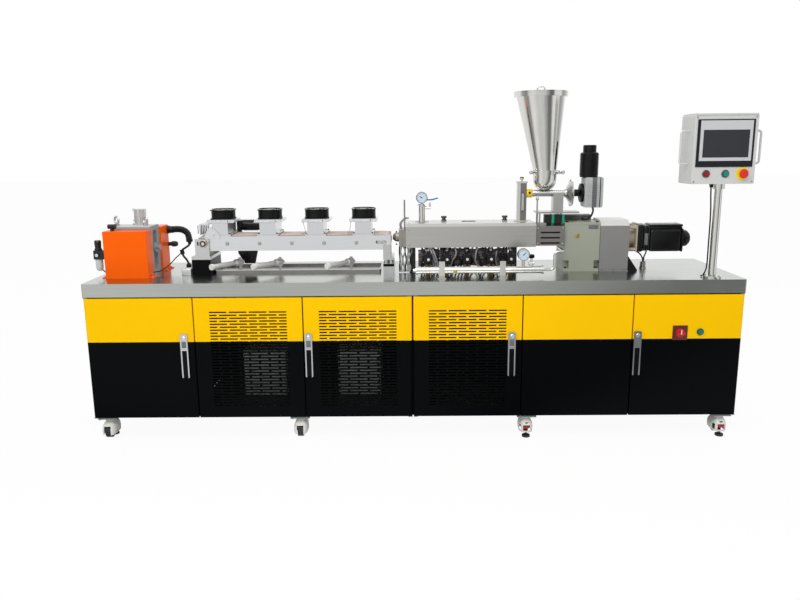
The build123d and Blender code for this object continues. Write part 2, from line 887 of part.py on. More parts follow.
cover_span = span_right(cover_x)
belt_left = left_end + belt_from_end
belt_right = cover_span[0] - belt_to_die
belt_length = belt_right - belt_left
side_span = (belt_left + side_insets[0], belt_right - side_insets[1])
side_inner = belt_half_width + side_gap
side_outer = side_inner + side_sheet
side_low, side_top = up(side_z[0]), up(side_z[1])
belt_top = side_top + belt_proud
belt_reach = end_roller + belt_thickness
roller_z = belt_top - belt_reach
roller_ends = (belt_left + belt_reach, belt_right - belt_reach)
idler_count = int((belt_length - idler_from_left - idler_margin) / idler_pitch) + 1
with BuildPart() as conveyor_frame:
    for side in (-1, 1):
        block(side_span, sorted((side * side_inner, side * side_outer)), (side_low, side_top))
    with BuildSketch(Plane.XZ.offset(side_outer)):
        with Locations((belt_right - adjust_from_right - side_insets[1], roller_z)):
            SlotOverall(*adjust_slot)
    extrude(amount=-2 * side_outer, mode=Mode.SUBTRACT)
    for i in range(idler_count):
        x = belt_left + idler_from_left + i * idler_pitch
        rod((x, -side_inner + seat, side_low + idler_lift), (x, side_inner - seat, side_low + idler_lift),
            idler_radius)
    bracket = [(belt_left + x, up(z)) for x, z in bracket_points]
    prism(bracket, Plane.XZ.offset(side_outer + seat), bracket_sheet)
    boss = (belt_left + (bracket_points[0][0] + bracket_points[1][0]) / 2, up(bracket_points[2][1]))
    front = -side_outer - seat - bracket_sheet
    rod((boss[0], front, boss[1]), (boss[0], front - bracket_roller[0], boss[1]), bracket_roller[0])
save(conveyor_frame, "conveyor_frame")

with BuildPart() as conveyor_belt:
    with BuildSketch(Plane.XZ.offset(-belt_half_width)):
        with Locations(((belt_left + belt_right) / 2, roller_z)):
            SlotOverall(belt_length, 2 * belt_reach)
            SlotOverall(belt_length - 2 * belt_thickness, 2 * end_roller, mode=Mode.SUBTRACT)
    extrude(amount=2 * belt_half_width)
save(conveyor_belt, "conveyor_belt")

with BuildPart() as belt_rollers:
    for x, shaft in zip(roller_ends, (side_outer, side_outer + shaft_radius)):
        rod((x, -belt_half_width, roller_z), (x, belt_half_width, roller_z), end_roller - seat)
        rod((x, -shaft, roller_z), (x, shaft, roller_z), shaft_radius)
save(belt_rollers, "belt_rollers")

foot_span = (-foot_half_width, foot_half_width)
left_foot = (belt_left + left_foot_x[0], belt_left + left_foot_x[1])
right_foot = (belt_right + right_foot_x[0], belt_right + right_foot_x[1])
with BuildPart() as conveyor_feet:
    block(left_foot, foot_span, (deck, up(bearing_z[0])))
    block(right_foot, foot_span, (deck, up(right_foot_z[0])))
    block(right_foot, foot_span, (up(right_foot_z[1]), up(right_foot_z[2])))
    for side in (-1, 1):
        plate_y = sorted((side * (side_outer + seat), side * (side_outer + bearing_depth)))
        block((belt_left + bearing_x[0], belt_left + bearing_x[1]), plate_y,
              (up(bearing_z[0]), up(bearing_z[1])))
        block((right_foot[0], side_span[1]), plate_y, (up(right_foot_z[2]), up(right_ear_z)))
        rod((roller_ends[0], side * (side_outer + bearing_depth), roller_z),
            (roller_ends[0], side * (side_outer + bearing_depth + bearing_ring[1]), roller_z),
            bearing_ring[0])
        for x in (right_foot[0] + rubber_inset[0], right_foot[1] - rubber_inset[0]):
            upright(x, side * (foot_half_width - rubber_inset[1]), (up(right_foot_z[0]), up(right_foot_z[1])),
                    rubber_radius)
save(conveyor_feet, "conveyor_feet")

drive_span = (belt_left + drive_x[0], belt_left + drive_x[1])
drive_y = side_outer + drive_from_side
drive_mid = up(drive_z)
with BuildPart() as belt_drive:
    body = (drive_span[0] + drive_head, drive_span[1])
    rod((body[0], drive_y, drive_mid), (body[1], drive_y, drive_mid), drive_radius)
    rib, rib_width, rib_depth = drive_ribs
    for i in range(int((body[1] - body[0]) / rib) - 2):
        x = body[0] + rib * (i + 1)
        rod((x, drive_y, drive_mid), (x + rib_width, drive_y, drive_mid), drive_radius + rib_depth)
    block((drive_span[0], body[0]), (side_outer + seat, drive_y + drive_radius),
          (drive_mid - drive_radius, drive_mid + drive_radius))
    prism([(belt_left + x, up(z)) for x, z in chain_case],
          Plane.XZ.offset(-side_outer - seat - chain_depth), chain_depth)
save(belt_drive, "belt_drive")

# Cooling ducts: folded plates, each kept apart from the next by a hairline

fan_count = int((belt_length - fan_margin) / fan_pitch) + 1
fan_x = [belt_left + fan_from_left + i * fan_pitch for i in range(fan_count)]
fan_bottom = up(fan_lift)
duct_bottom = side_top + duct_lift
plate_bottom = fan_bottom - duct_lid
duct_half = duct_size / 2
with BuildPart() as cooling_ducts:
    for x in fan_x:
        walls_z = (duct_bottom, plate_bottom - gap)
        flanges = (x - duct_half - duct_flange, x + duct_half + duct_flange)
        for side in (-1, 1):
            face_y = sorted((side * side_inner, side * (side_inner + duct_wall)))
            inner = side_inner - gap
            block(flanges, sorted((side * side_inner, side * side_outer)), (side_top, duct_bottom - gap))
            block((x - duct_half, x + duct_half), face_y, walls_z)
            cheek = sorted((x + side * duct_half, x + side * (duct_half - duct_wall)))
            block(cheek, (-inner, inner), walls_z)
            block(sorted((x + side * (duct_half + gap), x + side * (duct_half + duct_flange))),
                  (-side_outer, side_outer), (duct_bottom, duct_bottom + duct_base))
        lid_z = fan_bottom - fan_plate_thickness
        half = fan_plate / 2
        block((x - half, x + half), (-side_inner, side_inner), (plate_bottom, lid_z))
        block((x - half, x + half), (-half, half), (lid_z, fan_bottom))
        upright(x, 0, (plate_bottom - gap, fan_bottom + gap), duct_half - duct_crown, Mode.SUBTRACT)
    louvre = (belt_left + louvre_x, fan_x[0] - duct_half - duct_flange - gap)
    seat_left = max(louvre[0], side_span[0])
    for side in (-1, 1):
        block((seat_left, louvre[1]), sorted((side * side_inner, side * side_outer)),
              (side_top, duct_bottom - gap))
    block(louvre, (-side_outer, side_outer), (duct_bottom, duct_bottom + louvre_sheet))
    block((louvre[0], louvre[0] + louvre_sheet), (-side_outer, side_outer),
          (duct_bottom + louvre_sheet + gap, up(louvre_top)))
    block((louvre[0] + louvre_sheet + gap, louvre[1]), (-side_outer, side_outer),
          (up(louvre_top) - louvre_sheet, up(louvre_top)))
save(cooling_ducts, "cooling_ducts")

# Axial fans: round bodies with a rim at both ends, rotors and wire guards

fan_top = fan_bottom + fan_thick
with BuildPart() as fan_frames:
    for x in fan_x:
        bore = fan_radius - fan_wall
        ring(x, 0, (fan_bottom, fan_top), fan_radius, bore)
        for z in (fan_bottom, fan_top - fan_rim[1]):
            with BuildSketch(Plane.XY.offset(z)):
                with Locations((x, 0)):
                    Circle(fan_radius + fan_rim[0])
                    RectangleRounded(fan_tabs[0], fan_tabs[0], fan_tabs[1])
                    Circle(bore, mode=Mode.SUBTRACT)
            extrude(amount=fan_rim[1])
        with BuildSketch(Plane.XY.offset(fan_bottom)):
            with Locations((x, 0)):
                Circle(rotor_hub)
                Rectangle(2 * bore + fan_wall, spider)
                Rectangle(spider, 2 * bore + fan_wall)
        extrude(amount=fan_rim[1])
save(fan_frames, "fan_frames")

rotor_z = fan_bottom + fan_rim[1] + seat
with BuildPart() as fan_rotors:
    for x in fan_x:
        upright(x, 0, (rotor_z, fan_top - rotor_gap), rotor_hub)
        with Locations((x, 0, (rotor_z + fan_top - rotor_gap) / 2)):
            with PolarLocations((rotor_hub + rotor_radius) / 2, blade_count):
                Box(rotor_radius - rotor_hub + blade[0], blade[0], blade[1], rotation=(blade[2], 0, 0))
save(fan_rotors, "fan_rotors")

with BuildPart() as fan_guards:
    for x in fan_x:
        with BuildSketch(Plane.XY.offset(fan_top)):
            with Locations((x, 0)):
                for radius in guard_rings:
                    Circle(radius)
                    Circle(radius - guard_wire, mode=Mode.SUBTRACT)
                with Locations(Location((0, 0), 45), Location((0, 0), 135)):
                    Rectangle(2 * guard_rings[-1] + spider, guard_wire)
        extrude(amount=guard_wire)
save(fan_guards, "fan_guards")

# Strand tray and guide rolls

tray_span = (left_foot[1] + tray_ends[0], belt_right - tray_ends[1])
with BuildPart() as strand_tray:
    with BuildSketch(Plane.XY.offset(deck)):
        with Locations((sum(tray_span) / 2, sum(tray_y) / 2)):
            RectangleRounded(tray_span[1] - tray_span[0], tray_y[1] - tray_y[0], tray_corner)
    extrude(amount=tray_height)
    offset(amount=-tray_sheet, openings=strand_tray.faces().sort_by(Axis.Z)[-1])
save(strand_tray, "strand_tray")

guide_base = deck + tray_sheet
roll_z = up(guide_z)
with BuildPart() as strand_guides:
    for share in guide_places:
        post = Vector(belt_left + share * belt_length, guide_y, roll_z)
        way = Vector(0, -1).rotate(Axis.Z, -guide_turn)
        upright(post.X, post.Y, (guide_base, roll_z + clamp_sleeve[1] / 2 + guide_post), guide_post)
        upright(post.X, post.Y, (guide_base, guide_base + guide_foot[1]), guide_foot[0])
        upright(post.X, post.Y, (roll_z - clamp_sleeve[1] / 2, roll_z + clamp_sleeve[1] / 2),
                clamp_sleeve[0])
        rod(tuple(post), tuple(post + way * clamp_ring[1]), clamp_ring[0])
        tip = post + way * (guide_length - guide_cap[1])
        rod(tuple(post + way * clamp_ring[1]), tuple(tip), guide_radius)
        rod(tuple(tip), tuple(tip + way * guide_cap[1]), guide_cap[0])
        rod(tuple(post), tuple(post - way * clamp_knob[1]), clamp_knob[0])
save(strand_guides, "strand_guides")

# Barrel cover, vent box, die head and supports

cover_low, cover_top = up(cover_z[0]), up(cover_z[1])
port = cover_span[0] + port_x
post_x = cover_span[0] + vent_post_x
with BuildPart() as barrel_cover:
    with BuildSketch(Plane.YZ.offset(cover_span[0])):
        with Locations((sum(cover_y) / 2, (cover_low + cover_top) / 2)):
            cover_outline = Rectangle(cover_y[1] - cover_y[0], cover_top - cover_low)
        chamfer(cover_outline.vertices().group_by(Axis.Y)[-1], cover_bevel)
    extrude(amount=cover_span[1] - cover_span[0])
    for x in (port, cover_span[0] + cover_slot_x, post_x):
        block((x - cover_slots[0] / 2, x + cover_slots[0] / 2),
              (hopper_y - cover_slots[1] / 2, hopper_y + cover_slots[1] / 2),
              (cover_top - cover_slots[2], cover_top), Mode.SUBTRACT)
    for x in plug_x:
        stack((cover_span[0] + x, plug_y, cover_top), plug_steps, (0, 0, 1))
save(barrel_cover, "barrel_cover")

gearbox_span = span_right(gearbox_x)
vent_span = (cover_span[1] + seat, gearbox_span[0] - seat)
vent_y = (cover_y[0] + vent_margin, cover_y[1] - vent_margin)
vent_top = cover_top - vent_drop
with BuildPart() as vent_box:
    block(vent_span, vent_y, (cover_low + vent_lift, vent_top))
    with BuildSketch(Plane.XZ.offset(-vent_y[0])):
        with Locations([(sum(vent_span) / 2, up(z)) for z in vent_slots]):
            SlotOverall(vent_span[1] - vent_span[0] - 2 * vent_inset, vent_slot)
    extrude(amount=-vent_margin, mode=Mode.SUBTRACT)
save(vent_box, "vent_box")

die_mid = up(die_z)
with BuildPart() as die_head:
    die_left = cover_span[0] - die_block[0]
    die_half = die_block[1] / 2
    block((die_left, cover_span[0] - seat), (die_y - die_half, die_y + die_half),
          (die_mid - die_half, die_mid + die_half))
    fillet(die_head.edges().filter_by(Axis.X), cover_corner)
    box_half = die_box[1] / 2
    turned(((box_half, 0), (box_half, die_box[0] / 2), (box_half / 2, die_box[0])),
           (die_left, die_y, die_mid), (-1, 0, 0))
    sensor = cover_span[0] + sensor_x
    upright(sensor, sensor_y, (cover_low, up(sensor_top)), sensor_rod[0])
    block((sensor - terminal[0] / 2, cover_span[0] - seat),
          (sensor_y - terminal[0] / 2, die_y - die_half + seat), (cover_low, up(terminal[1])))
save(die_head, "die_head")

with BuildPart() as barrel_supports:
    for x in support_x:
        middle = cover_span[0] + x + support_width / 2
        half = support_width / 2
        block((middle - half, middle + half), support_y, (up(support_foot), cover_low))
        block((middle - half, middle + half), support_foot_y, (deck, up(support_foot)))
save(barrel_supports, "barrel_supports")

# Water manifold on two posts, with an elbow pipe to the vent box, and five valves

manifold_span = (cover_span[0] + manifold_ends[0], cover_span[1] + manifold_ends[1])
manifold_mid = up(manifold_z)
gauge_mid = up(gauge_z)
gauge_at = cover_span[0] + gauge_x
with BuildPart() as water_manifold:
    rod((manifold_span[0], manifold_y, manifold_mid), (manifold_span[1], manifold_y, manifold_mid),
        manifold_radius)
    for x, way in ((manifold_span[0], -1), (manifold_span[1], 1)):
        rod((x, manifold_y, manifold_mid), (x + way * manifold_cap[1], manifold_y, manifold_mid),
            manifold_cap[0])
    for place in manifold_posts:
        x = cover_span[0] + place
        block((x - post_size[0] / 2, x + post_size[0] / 2),
              (manifold_y - manifold_radius - post_size[1] / 2, manifold_y - post_size[1] / 2),
              (deck, up(post_size[2])))
        block((x - post_foot[0] / 2, x + post_foot[0] / 2),
              (manifold_y - post_foot[1] / 2, manifold_y + post_foot[1] / 2), (deck, up(post_foot[2])))
    upright(gauge_at, manifold_y, (manifold_mid, gauge_mid - gauge_radius - seat), gauge_stem)
    rise_x, rise, run_x = pipe_turns
    bent_bar([(manifold_span[1], manifold_y, manifold_mid),
              (manifold_span[1] + rise_x, manifold_y, manifold_mid),
              (manifold_span[1] + rise_x, manifold_y, manifold_mid + rise),
              (manifold_span[1] + run_x, manifold_y, manifold_mid + rise),
              (manifold_span[1] + run_x, vent_y[0] - seat, manifold_mid + rise)], pipe_bend, pipe_radius)
save(water_manifold, "water_manifold")

with BuildPart() as solenoid_valves:
    for place in valve_x:
        x = cover_span[0] + place
        body_z = (up(valve_body_z), up(valve_body_z + valve_body[2]))
        block((x - valve_body[0] / 2, x + valve_body[0] / 2),
              (valve_y - valve_body[1] / 2, valve_y + valve_body[1] / 2), body_z)
        with BuildSketch(Plane.XY.offset(body_z[1])):
            with Locations((x, valve_y)):
                RectangleRounded(coil[0], coil[1], coil_corner)
        extrude(amount=coil[2])
        upright(x, valve_y, (body_z[1] + coil[2], body_z[1] + coil[2] + coil_nut[1]), coil_nut[0])
        plug_z = body_z[1] + coil[2] / 2
        block((x - valve_plug[0], x + valve_plug[0]),
              (valve_y - coil[1] / 2 - valve_plug[1], valve_y - coil[1] / 2),
              (plug_z - valve_plug[2] / 2, plug_z + valve_plug[2] / 2))
        rod((x, valve_y - coil_corner, manifold_mid),
            (x, manifold_y + manifold_radius + seat, manifold_mid), valve_pipe)
        block((x - valve_foot / 2, x + valve_foot / 2), (valve_y - valve_foot / 2, valve_y + valve_foot / 2),
              (deck, body_z[0]))
save(solenoid_valves, "solenoid_valves")

# Gauges, vacuum port and the slotted vent post on the barrel

port_mid = up(port_gauge_z)
case = ((gauge_radius, 0), (gauge_radius, gauge_depth - gauge_dish),
        (gauge_radius - gauge_dish, gauge_depth), (gauge_radius - gauge_dish, gauge_depth - gauge_dish))
with BuildPart() as pressure_gauges:
    turned(case, (gauge_at, manifold_y + gauge_depth / 2, gauge_mid), (0, -1, 0))
    turned(case, (port, hopper_y + gauge_depth / 2, port_mid), (0, -1, 0))
save(pressure_gauges, "pressure_gauges")

with BuildPart() as vacuum_port:
    clamp = up(port_top)
    half = port_clamp[1] / 2
    turned(((port_radius, 0), (port_radius, clamp - cover_top + cover_slots[2] - port_clamp[1]),
            (port_clamp[0], clamp - cover_top + cover_slots[2] - half),
            (port_radius, clamp - cover_top + cover_slots[2])),
           (port, hopper_y, cover_top - cover_slots[2]))
    upright(port, hopper_y, (clamp, port_mid - gauge_radius - seat), gauge_stem)
    lever_z = clamp - port_lever[2]
    rod((port, hopper_y, lever_z), (port + port_lever[1], hopper_y, lever_z), gauge_stem)
    upright(port + port_lever[1] - port_lever[0], hopper_y, (lever_z, clamp + port_lever[0]), port_lever[0])
save(vacuum_port, "vacuum_port")

with BuildPart() as feed_vent_post:
    half_x, half_y = vent_post_size[0] / 2, vent_post_size[1] / 2
    top = up(vent_post_top) - vent_post_cap[1]
    block((post_x - half_x, post_x + half_x), (hopper_y - half_y, hopper_y + half_y),
          (cover_top - cover_slots[2], top))
    with BuildSketch(Plane.XZ.offset(half_y - hopper_y)):
        with Locations((post_x, (cover_top + top) / 2)):
            SlotOverall(vent_post_slot[1], vent_post_slot[0], rotation=90)
    extrude(amount=-vent_post_slot[2], mode=Mode.SUBTRACT)
    lip = vent_post_cap[0]
    block((post_x - half_x - lip, post_x + half_x + lip), (hopper_y - half_y - lip, hopper_y + half_y + lip),
          (top, up(vent_post_top)))
    turned(((vent_post_knob[0], 0), (vent_post_knob[0], vent_post_knob[1] / 2),
            (2 * vent_post_knob[0], vent_post_knob[1] / 2), (2 * vent_post_knob[0], vent_post_knob[1])),
           (post_x, hopper_y, up(vent_post_top)))
save(feed_vent_post, "feed_vent_post")

# Gearbox, coupling cover, lantern and motor

with BuildPart() as gearbox:
    block(gearbox_span, gearbox_y, (deck, up(gearbox_top)))
    fillet(gearbox.edges().filter_by(Axis.Z), cover_corner)
    for side, x in ((-1, gearbox_span[0]), (1, gearbox_span[1])):
        pocket = sorted((x, x - side * gearbox_pocket[0]))
        block(pocket, (gearbox_y[0], gearbox_y[0] + gearbox_pocket[1]),
              (up(gearbox_pocket[2]), up(gearbox_pocket[2] + gearbox_pocket[3])), Mode.SUBTRACT)
    seam_z = up(gearbox_top - gearbox_seam[0])
    block(gearbox_span, (gearbox_y[0], gearbox_y[0] + gearbox_seam[1]), (seam_z, seam_z + gearbox_seam[1]),
          Mode.SUBTRACT)
save(gearbox, "gearbox")

coupling_span = (gearbox_span[1] + seat, from_right(coupling_end))
coupling_y = (gearbox_y[0] - coupling_foot[1] / 2, gearbox_y[1] + coupling_foot[1] / 2)
with BuildPart() as coupling_cover:
    with BuildSketch(Plane.YZ.offset(coupling_span[0])):
        with Locations((sum(coupling_y) / 2, up(coupling_top / 2))):
            hood_outline = Rectangle(coupling_y[1] - coupling_y[0], coupling_top)
        chamfer(hood_outline.vertices().group_by(Axis.Y)[-1], coupling_bevel)
    extrude(amount=coupling_span[1] - coupling_span[0])
    block(coupling_span, (coupling_y[0] - coupling_foot[0], coupling_y[1] + coupling_foot[0]),
          (deck, up(coupling_foot[1])))
save(coupling_cover, "coupling_cover")

motor_span = span_right(motor_x)
motor_mid = up(motor_z)
lantern_span = (coupling_span[1] + seat, motor_span[0] - seat)
lantern_half, lantern_plate, corner_post, drum = lantern
with BuildPart() as motor_adapter:
    square_y = (motor_y - lantern_half, motor_y + lantern_half)
    square_z = (motor_mid - lantern_half, motor_mid + lantern_half)
    for x in (lantern_span[0], lantern_span[1] - lantern_plate):
        block((x, x + lantern_plate), square_y, square_z)
    for y in (square_y[0] + corner_post, square_y[1] - corner_post):
        for z in (square_z[0] + corner_post, square_z[1] - corner_post):
            rod((lantern_span[0], y, z), (lantern_span[1], y, z), corner_post)
    rod((lantern_span[0], motor_y, motor_mid), (lantern_span[1], motor_y, motor_mid), drum)
save(motor_adapter, "motor_adapter")

with BuildPart() as main_motor:
    flange_half, flange_depth, flange_corner = motor_flange
    body_half, body_corner = motor_body
    flange_end = motor_span[0] + flange_depth
    with BuildSketch(Plane.YZ.offset(motor_span[0])):
        with Locations((motor_y, motor_mid)):
            RectangleRounded(2 * flange_half, 2 * flange_half, flange_corner)
    extrude(amount=flange_depth)
    with BuildSketch(Plane.YZ.offset(flange_end)):
        with Locations((motor_y, motor_mid)):
            RectangleRounded(2 * body_half, 2 * body_half, body_corner)
    extrude(amount=motor_span[1] - flange_end)
    box_low, box_half, box_rise, box_corner = motor_box
    box_span = (motor_span[0] + box_low, motor_span[1] + box_corner)
    body_top = motor_mid + body_half
    with BuildSketch(Plane.XY.offset(body_top - box_corner)):
        with Locations((sum(box_span) / 2, motor_y)):
            RectangleRounded(box_span[1] - box_span[0], 2 * box_half, box_corner)
    extrude(amount=box_rise + box_corner)
    turned(motor_cap, (motor_span[1], motor_y, motor_mid), (1, 0, 0))
    pitch, rib_width, rib_depth = cap_rings
    for i in range(1, int(motor_cap[1][1] / pitch) + 1):
        x = motor_span[1] + pitch * i - rib_width
        rod((x, motor_y, motor_mid), (x + rib_width, motor_y, motor_mid), motor_cap[0][0] + rib_depth)
save(main_motor, "main_motor")

# Feeder: an eccentric hopper over a round bowl, standing on the feeder barrel

top_x, low_x = from_right(hopper_top_x), from_right(hopper_low_x)
band_low = hopper_top - hopper_band
tube_z = up(feed_tube_z)
bowl_bottom = tube_z + feed_tube_radius + seat
bowl_top, bowl_round = bowl[0], bowl[1:]
with BuildPart() as feed_hopper:
    for grow, mode in ((0, Mode.ADD), (-hopper_wall, Mode.SUBTRACT)):
        with BuildSketch(Plane.XY.offset(hopper_mid)) as low_circle:
            with Locations((low_x, hopper_y)):
                Circle(hopper_mid_radius + grow)
        with BuildSketch(Plane.XY.offset(band_low)) as top_circle:
            with Locations((top_x, hopper_y)):
                Circle(hopper_top_radius + grow)
        loft([low_circle.sketch, top_circle.sketch], mode=mode)
    ring(top_x, hopper_y, (band_low, hopper_top), hopper_rim, hopper_top_radius - hopper_wall)
    outer = ((bowl_radii[1], 0), (bowl_radii[0], bowl_round[1] - bowl_round[2]),
             (hopper_mid_radius, bowl_round[0]), (hopper_mid_radius, bowl_top))
    turned(outer, (low_x, hopper_y, bowl_bottom))
    inner = [(radius - hopper_wall, height + hopper_wall) for radius, height in outer]
    turned(inner, (low_x, hopper_y, bowl_bottom), mode=Mode.SUBTRACT)
    clamp_z = (hopper_mid - hopper_clamp[1], hopper_mid + hopper_clamp[1] / 2)
    ring(low_x, hopper_y, clamp_z, hopper_clamp[0], hopper_mid_radius - hopper_wall / 2)
    for side, reach in ((-1, clamp_ear[1]), (1, clamp_ear[0] + clamp_ear[1])):
        ear = sorted((low_x + side * (hopper_clamp[0] - sink), low_x + side * (hopper_clamp[0] + reach)))
        block(ear, (hopper_y - clamp_ear[2], hopper_y + clamp_ear[2]), clamp_z)
save(feed_hopper, "feed_hopper")

with BuildPart() as hopper_lid:
    lid_top = hopper_top + seat + lid_sheet
    grip_half, grip_rise, grip_bar = lid_handle
    upright(top_x, hopper_y, (hopper_top + seat, lid_top), hopper_rim)
    bent_bar([(top_x - grip_half, hopper_y, lid_top - sink),
              (top_x - grip_half, hopper_y, lid_top + grip_rise),
              (top_x + grip_half, hopper_y, lid_top + grip_rise),
              (top_x + grip_half, hopper_y, lid_top - sink)], grip_bar * 2, grip_bar)
save(hopper_lid, "hopper_lid")

tube_span = span_right(feed_tube_ends)
with BuildPart() as feeder_barrel:
    rod((tube_span[0], hopper_y, tube_z), (tube_span[1], hopper_y, tube_z), feed_tube_radius)
    rod((tube_span[0], hopper_y, tube_z), (tube_span[0] + tube_cap[1], hopper_y, tube_z), tube_cap[0])
    turned(disc_profile, (tube_span[1], hopper_y, tube_z), (1, 0, 0))
save(feeder_barrel, "feeder_barrel")

plate_span = span_right(base_plate[:2])
plate_low, plate_top = up(base_plate[2]), up(base_plate[3])
with BuildPart() as feeder_stand:
    block(plate_span, (hopper_y - base_half_width, hopper_y + base_half_width), (plate_low, plate_top))
    block(span_right(bracket_x), (hopper_y - bracket_half, hopper_y + bracket_half), (plate_top, tube_z))
    rod((plate_span[0], hopper_y, tube_z), (plate_span[1], hopper_y, tube_z), feed_tube_radius + seat,
        Mode.SUBTRACT)
    for place in leg_x:
        x = from_right(place)
        for y in (hopper_y - base_half_width + base_leg, hopper_y + base_half_width - 2 * base_leg):
            block((x, x + base_leg), (y, y + base_leg), (vent_top, plate_low))
    link = (from_right(link_x) - link_ball + link_rod, link_y)
    upright(*link, (plate_low, up(link_top)), link_rod)
    with Locations((*link, up(link_top))):
        Sphere(link_ball)
save(feeder_stand, "feeder_stand")

drive_start = tube_span[1] + disc_profile[-1][1] + seat
with BuildPart() as feeder_drive:
    neck_end = drive_start + neck[1]
    bell_end = neck_end + bell[1]
    worm_low, worm_top = up(worm_box[1]), up(worm_box[2])
    rod((drive_start, hopper_y, tube_z), (neck_end, hopper_y, tube_z), neck[0])
    turned(((neck[0], 0), (bell[0], bell[1] / 3), (bell[0], bell[1])), (neck_end, hopper_y, tube_z), (1, 0, 0))
    with BuildSketch(Plane.XZ.offset(-hopper_y - worm_depth)):
        with Locations((bell_end + worm_box[0] / 2, (worm_low + worm_top) / 2)):
            RectangleRounded(worm_box[0], worm_top - worm_low, worm_corner)
    extrude(amount=2 * worm_depth)
    pitch, rib_width, rib_depth = worm_ribs
    for i in range(int((worm_top - worm_low) / pitch) - 2):
        z = worm_low + pitch * (i + 1)
        block((bell_end + worm_corner, bell_end + worm_box[0] - worm_corner),
              (hopper_y - worm_depth - rib_depth, hopper_y + worm_depth + rib_depth), (z, z + rib_width))
    motor_at = bell_end + motor_inset
    turned(feeder_motor, (motor_at, hopper_y, worm_top))
    pitch, rib_width, rib_depth = motor_grooves
    for i in range(1, int(feeder_motor[1][1] / pitch)):
        z = worm_top + pitch * i
        ring(motor_at, hopper_y, (z, z + rib_width), feeder_motor[0][0] + rib_depth, feeder_motor[0][0] - sink)
save(feeder_drive, "feeder_drive")

with BuildPart() as wiring_trunking:
    duct_span = span_right(trunking[:2])
    trunk_z = (up(gearbox_top), up(gearbox_top + trunking[2]))
    block(duct_span, trunking_y, trunk_z)
    pitch, slot_width, slot_depth = trunking_slots
    for i in range(int((duct_span[1] - duct_span[0]) / pitch) - 1):
        x = duct_span[0] + pitch * (i + 1)
        block((x, x + slot_width), (trunking_y[0], trunking_y[0] + trunk_wall),
              (trunk_z[1] - slot_depth - trunk_wall, trunk_z[1] - trunk_wall), Mode.SUBTRACT)
    plug_span = span_right(connector_x)
    plug_low, plug_top = up(connector_z[0]), up(connector_z[1])
    block(plug_span, connector_y, (plug_low, plug_top))
    block((plug_span[0] + connector_foot, plug_span[1] - connector_foot),
          (connector_y[0] + connector_foot, connector_y[1] - connector_foot), (vent_top, plug_low))
    inset, band, proud = connector_bands
    for x in (plug_span[0] + inset, plug_span[1] - inset - band):
        block((x, x + band), (connector_y[0] - proud, connector_y[1]), (plug_low, plug_top + proud))
save(wiring_trunking, "wiring_trunking")

# Operator panel

box_span = span_right(box_x)
box_front = door_front - box_overhang
box_back = box_front + box_depth
pole = (from_right(pole_from_end), door_front + pole_from_front)
with BuildPart() as operator_post:
    upright(*pole, (deck, box_z[0] - seat), pole_radius)
    upright(*pole, (deck, deck + pole_flange[1]), pole_flange[0])
    upright(*pole, (box_z[0] - pole_collar[1], box_z[0] - seat), pole_collar[0])
save(operator_post, "operator_post")

stop_at = from_right(stop_x)
stop_bore = ((stop_at, box_front - stop_disc[1], button_z), (stop_at, box_front + stop_bore_depth, button_z))
grip_y = box_front + grip_from_front
with BuildPart() as operator_box:
    block(box_span, (box_front, box_back), box_z)
    fillet(operator_box.edges().filter_by(Axis.Y), box_corner)
    lip, lip_height = roof_lip
    block((box_span[0] + lip, box_span[1] - lip), (box_front - lip, box_back),
          (box_z[1] - seat, box_z[1] + lip_height))
    for side, x in ((-1, box_span[0]), (1, box_span[1])):
        reach = x + side * (grip_reach - grip_radius)
        bent_bar([(x - side * grip_radius, grip_y, grip_z[0]), (reach, grip_y, grip_z[0]),
                  (reach, grip_y, grip_z[1]), (x - side * grip_radius, grip_y, grip_z[1])],
                 grip_bend, grip_radius)
    rod(*stop_bore, stop_stem + pin_clearance, Mode.SUBTRACT)
save(operator_box, "operator_box")

with BuildPart() as operator_screen:
    frame_face = box_front - frame_proud
    bezel_face = frame_face - bezel_proud
    block(span_right(frame_x), (frame_face, box_front), frame_z)
    block(span_right(bezel_x), (bezel_face, frame_face), bezel_z)
    block(span_right(screen_x), (bezel_face, bezel_face + screen_sunk), screen_z, Mode.SUBTRACT)
save(operator_screen, "operator_screen")

with BuildPart() as push_buttons:
    for place in button_x:
        stack((from_right(place), box_front, button_z), button_steps, (0, -1, 0))
    rod((stop_at, box_front, button_z), (stop_at, box_front - stop_disc[1], button_z), stop_disc[0])
    rod(*stop_bore, stop_stem + pin_clearance, Mode.SUBTRACT)
save(push_buttons, "push_buttons")

with BuildPart() as emergency_stop:
    cap_y = box_front - stop_proud
    rod((stop_at, box_front + stop_stem_depth, button_z), (stop_at, cap_y, button_z), stop_stem)
    turned(stop_cap, (stop_at, cap_y, button_z), (0, -1, 0))
save(emergency_stop, "emergency_stop")
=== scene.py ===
# %% [markdown]
# # A laboratory plastic extruder line
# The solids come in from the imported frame, in metres, standing on the floor at z = 0. Everything
# below dresses them: finishes for the solids first, then the small pieces that solids leave out.

# %% The frame and the imports
import math
import random
import bmesh
import bpy
from mathutils import Matrix, Vector


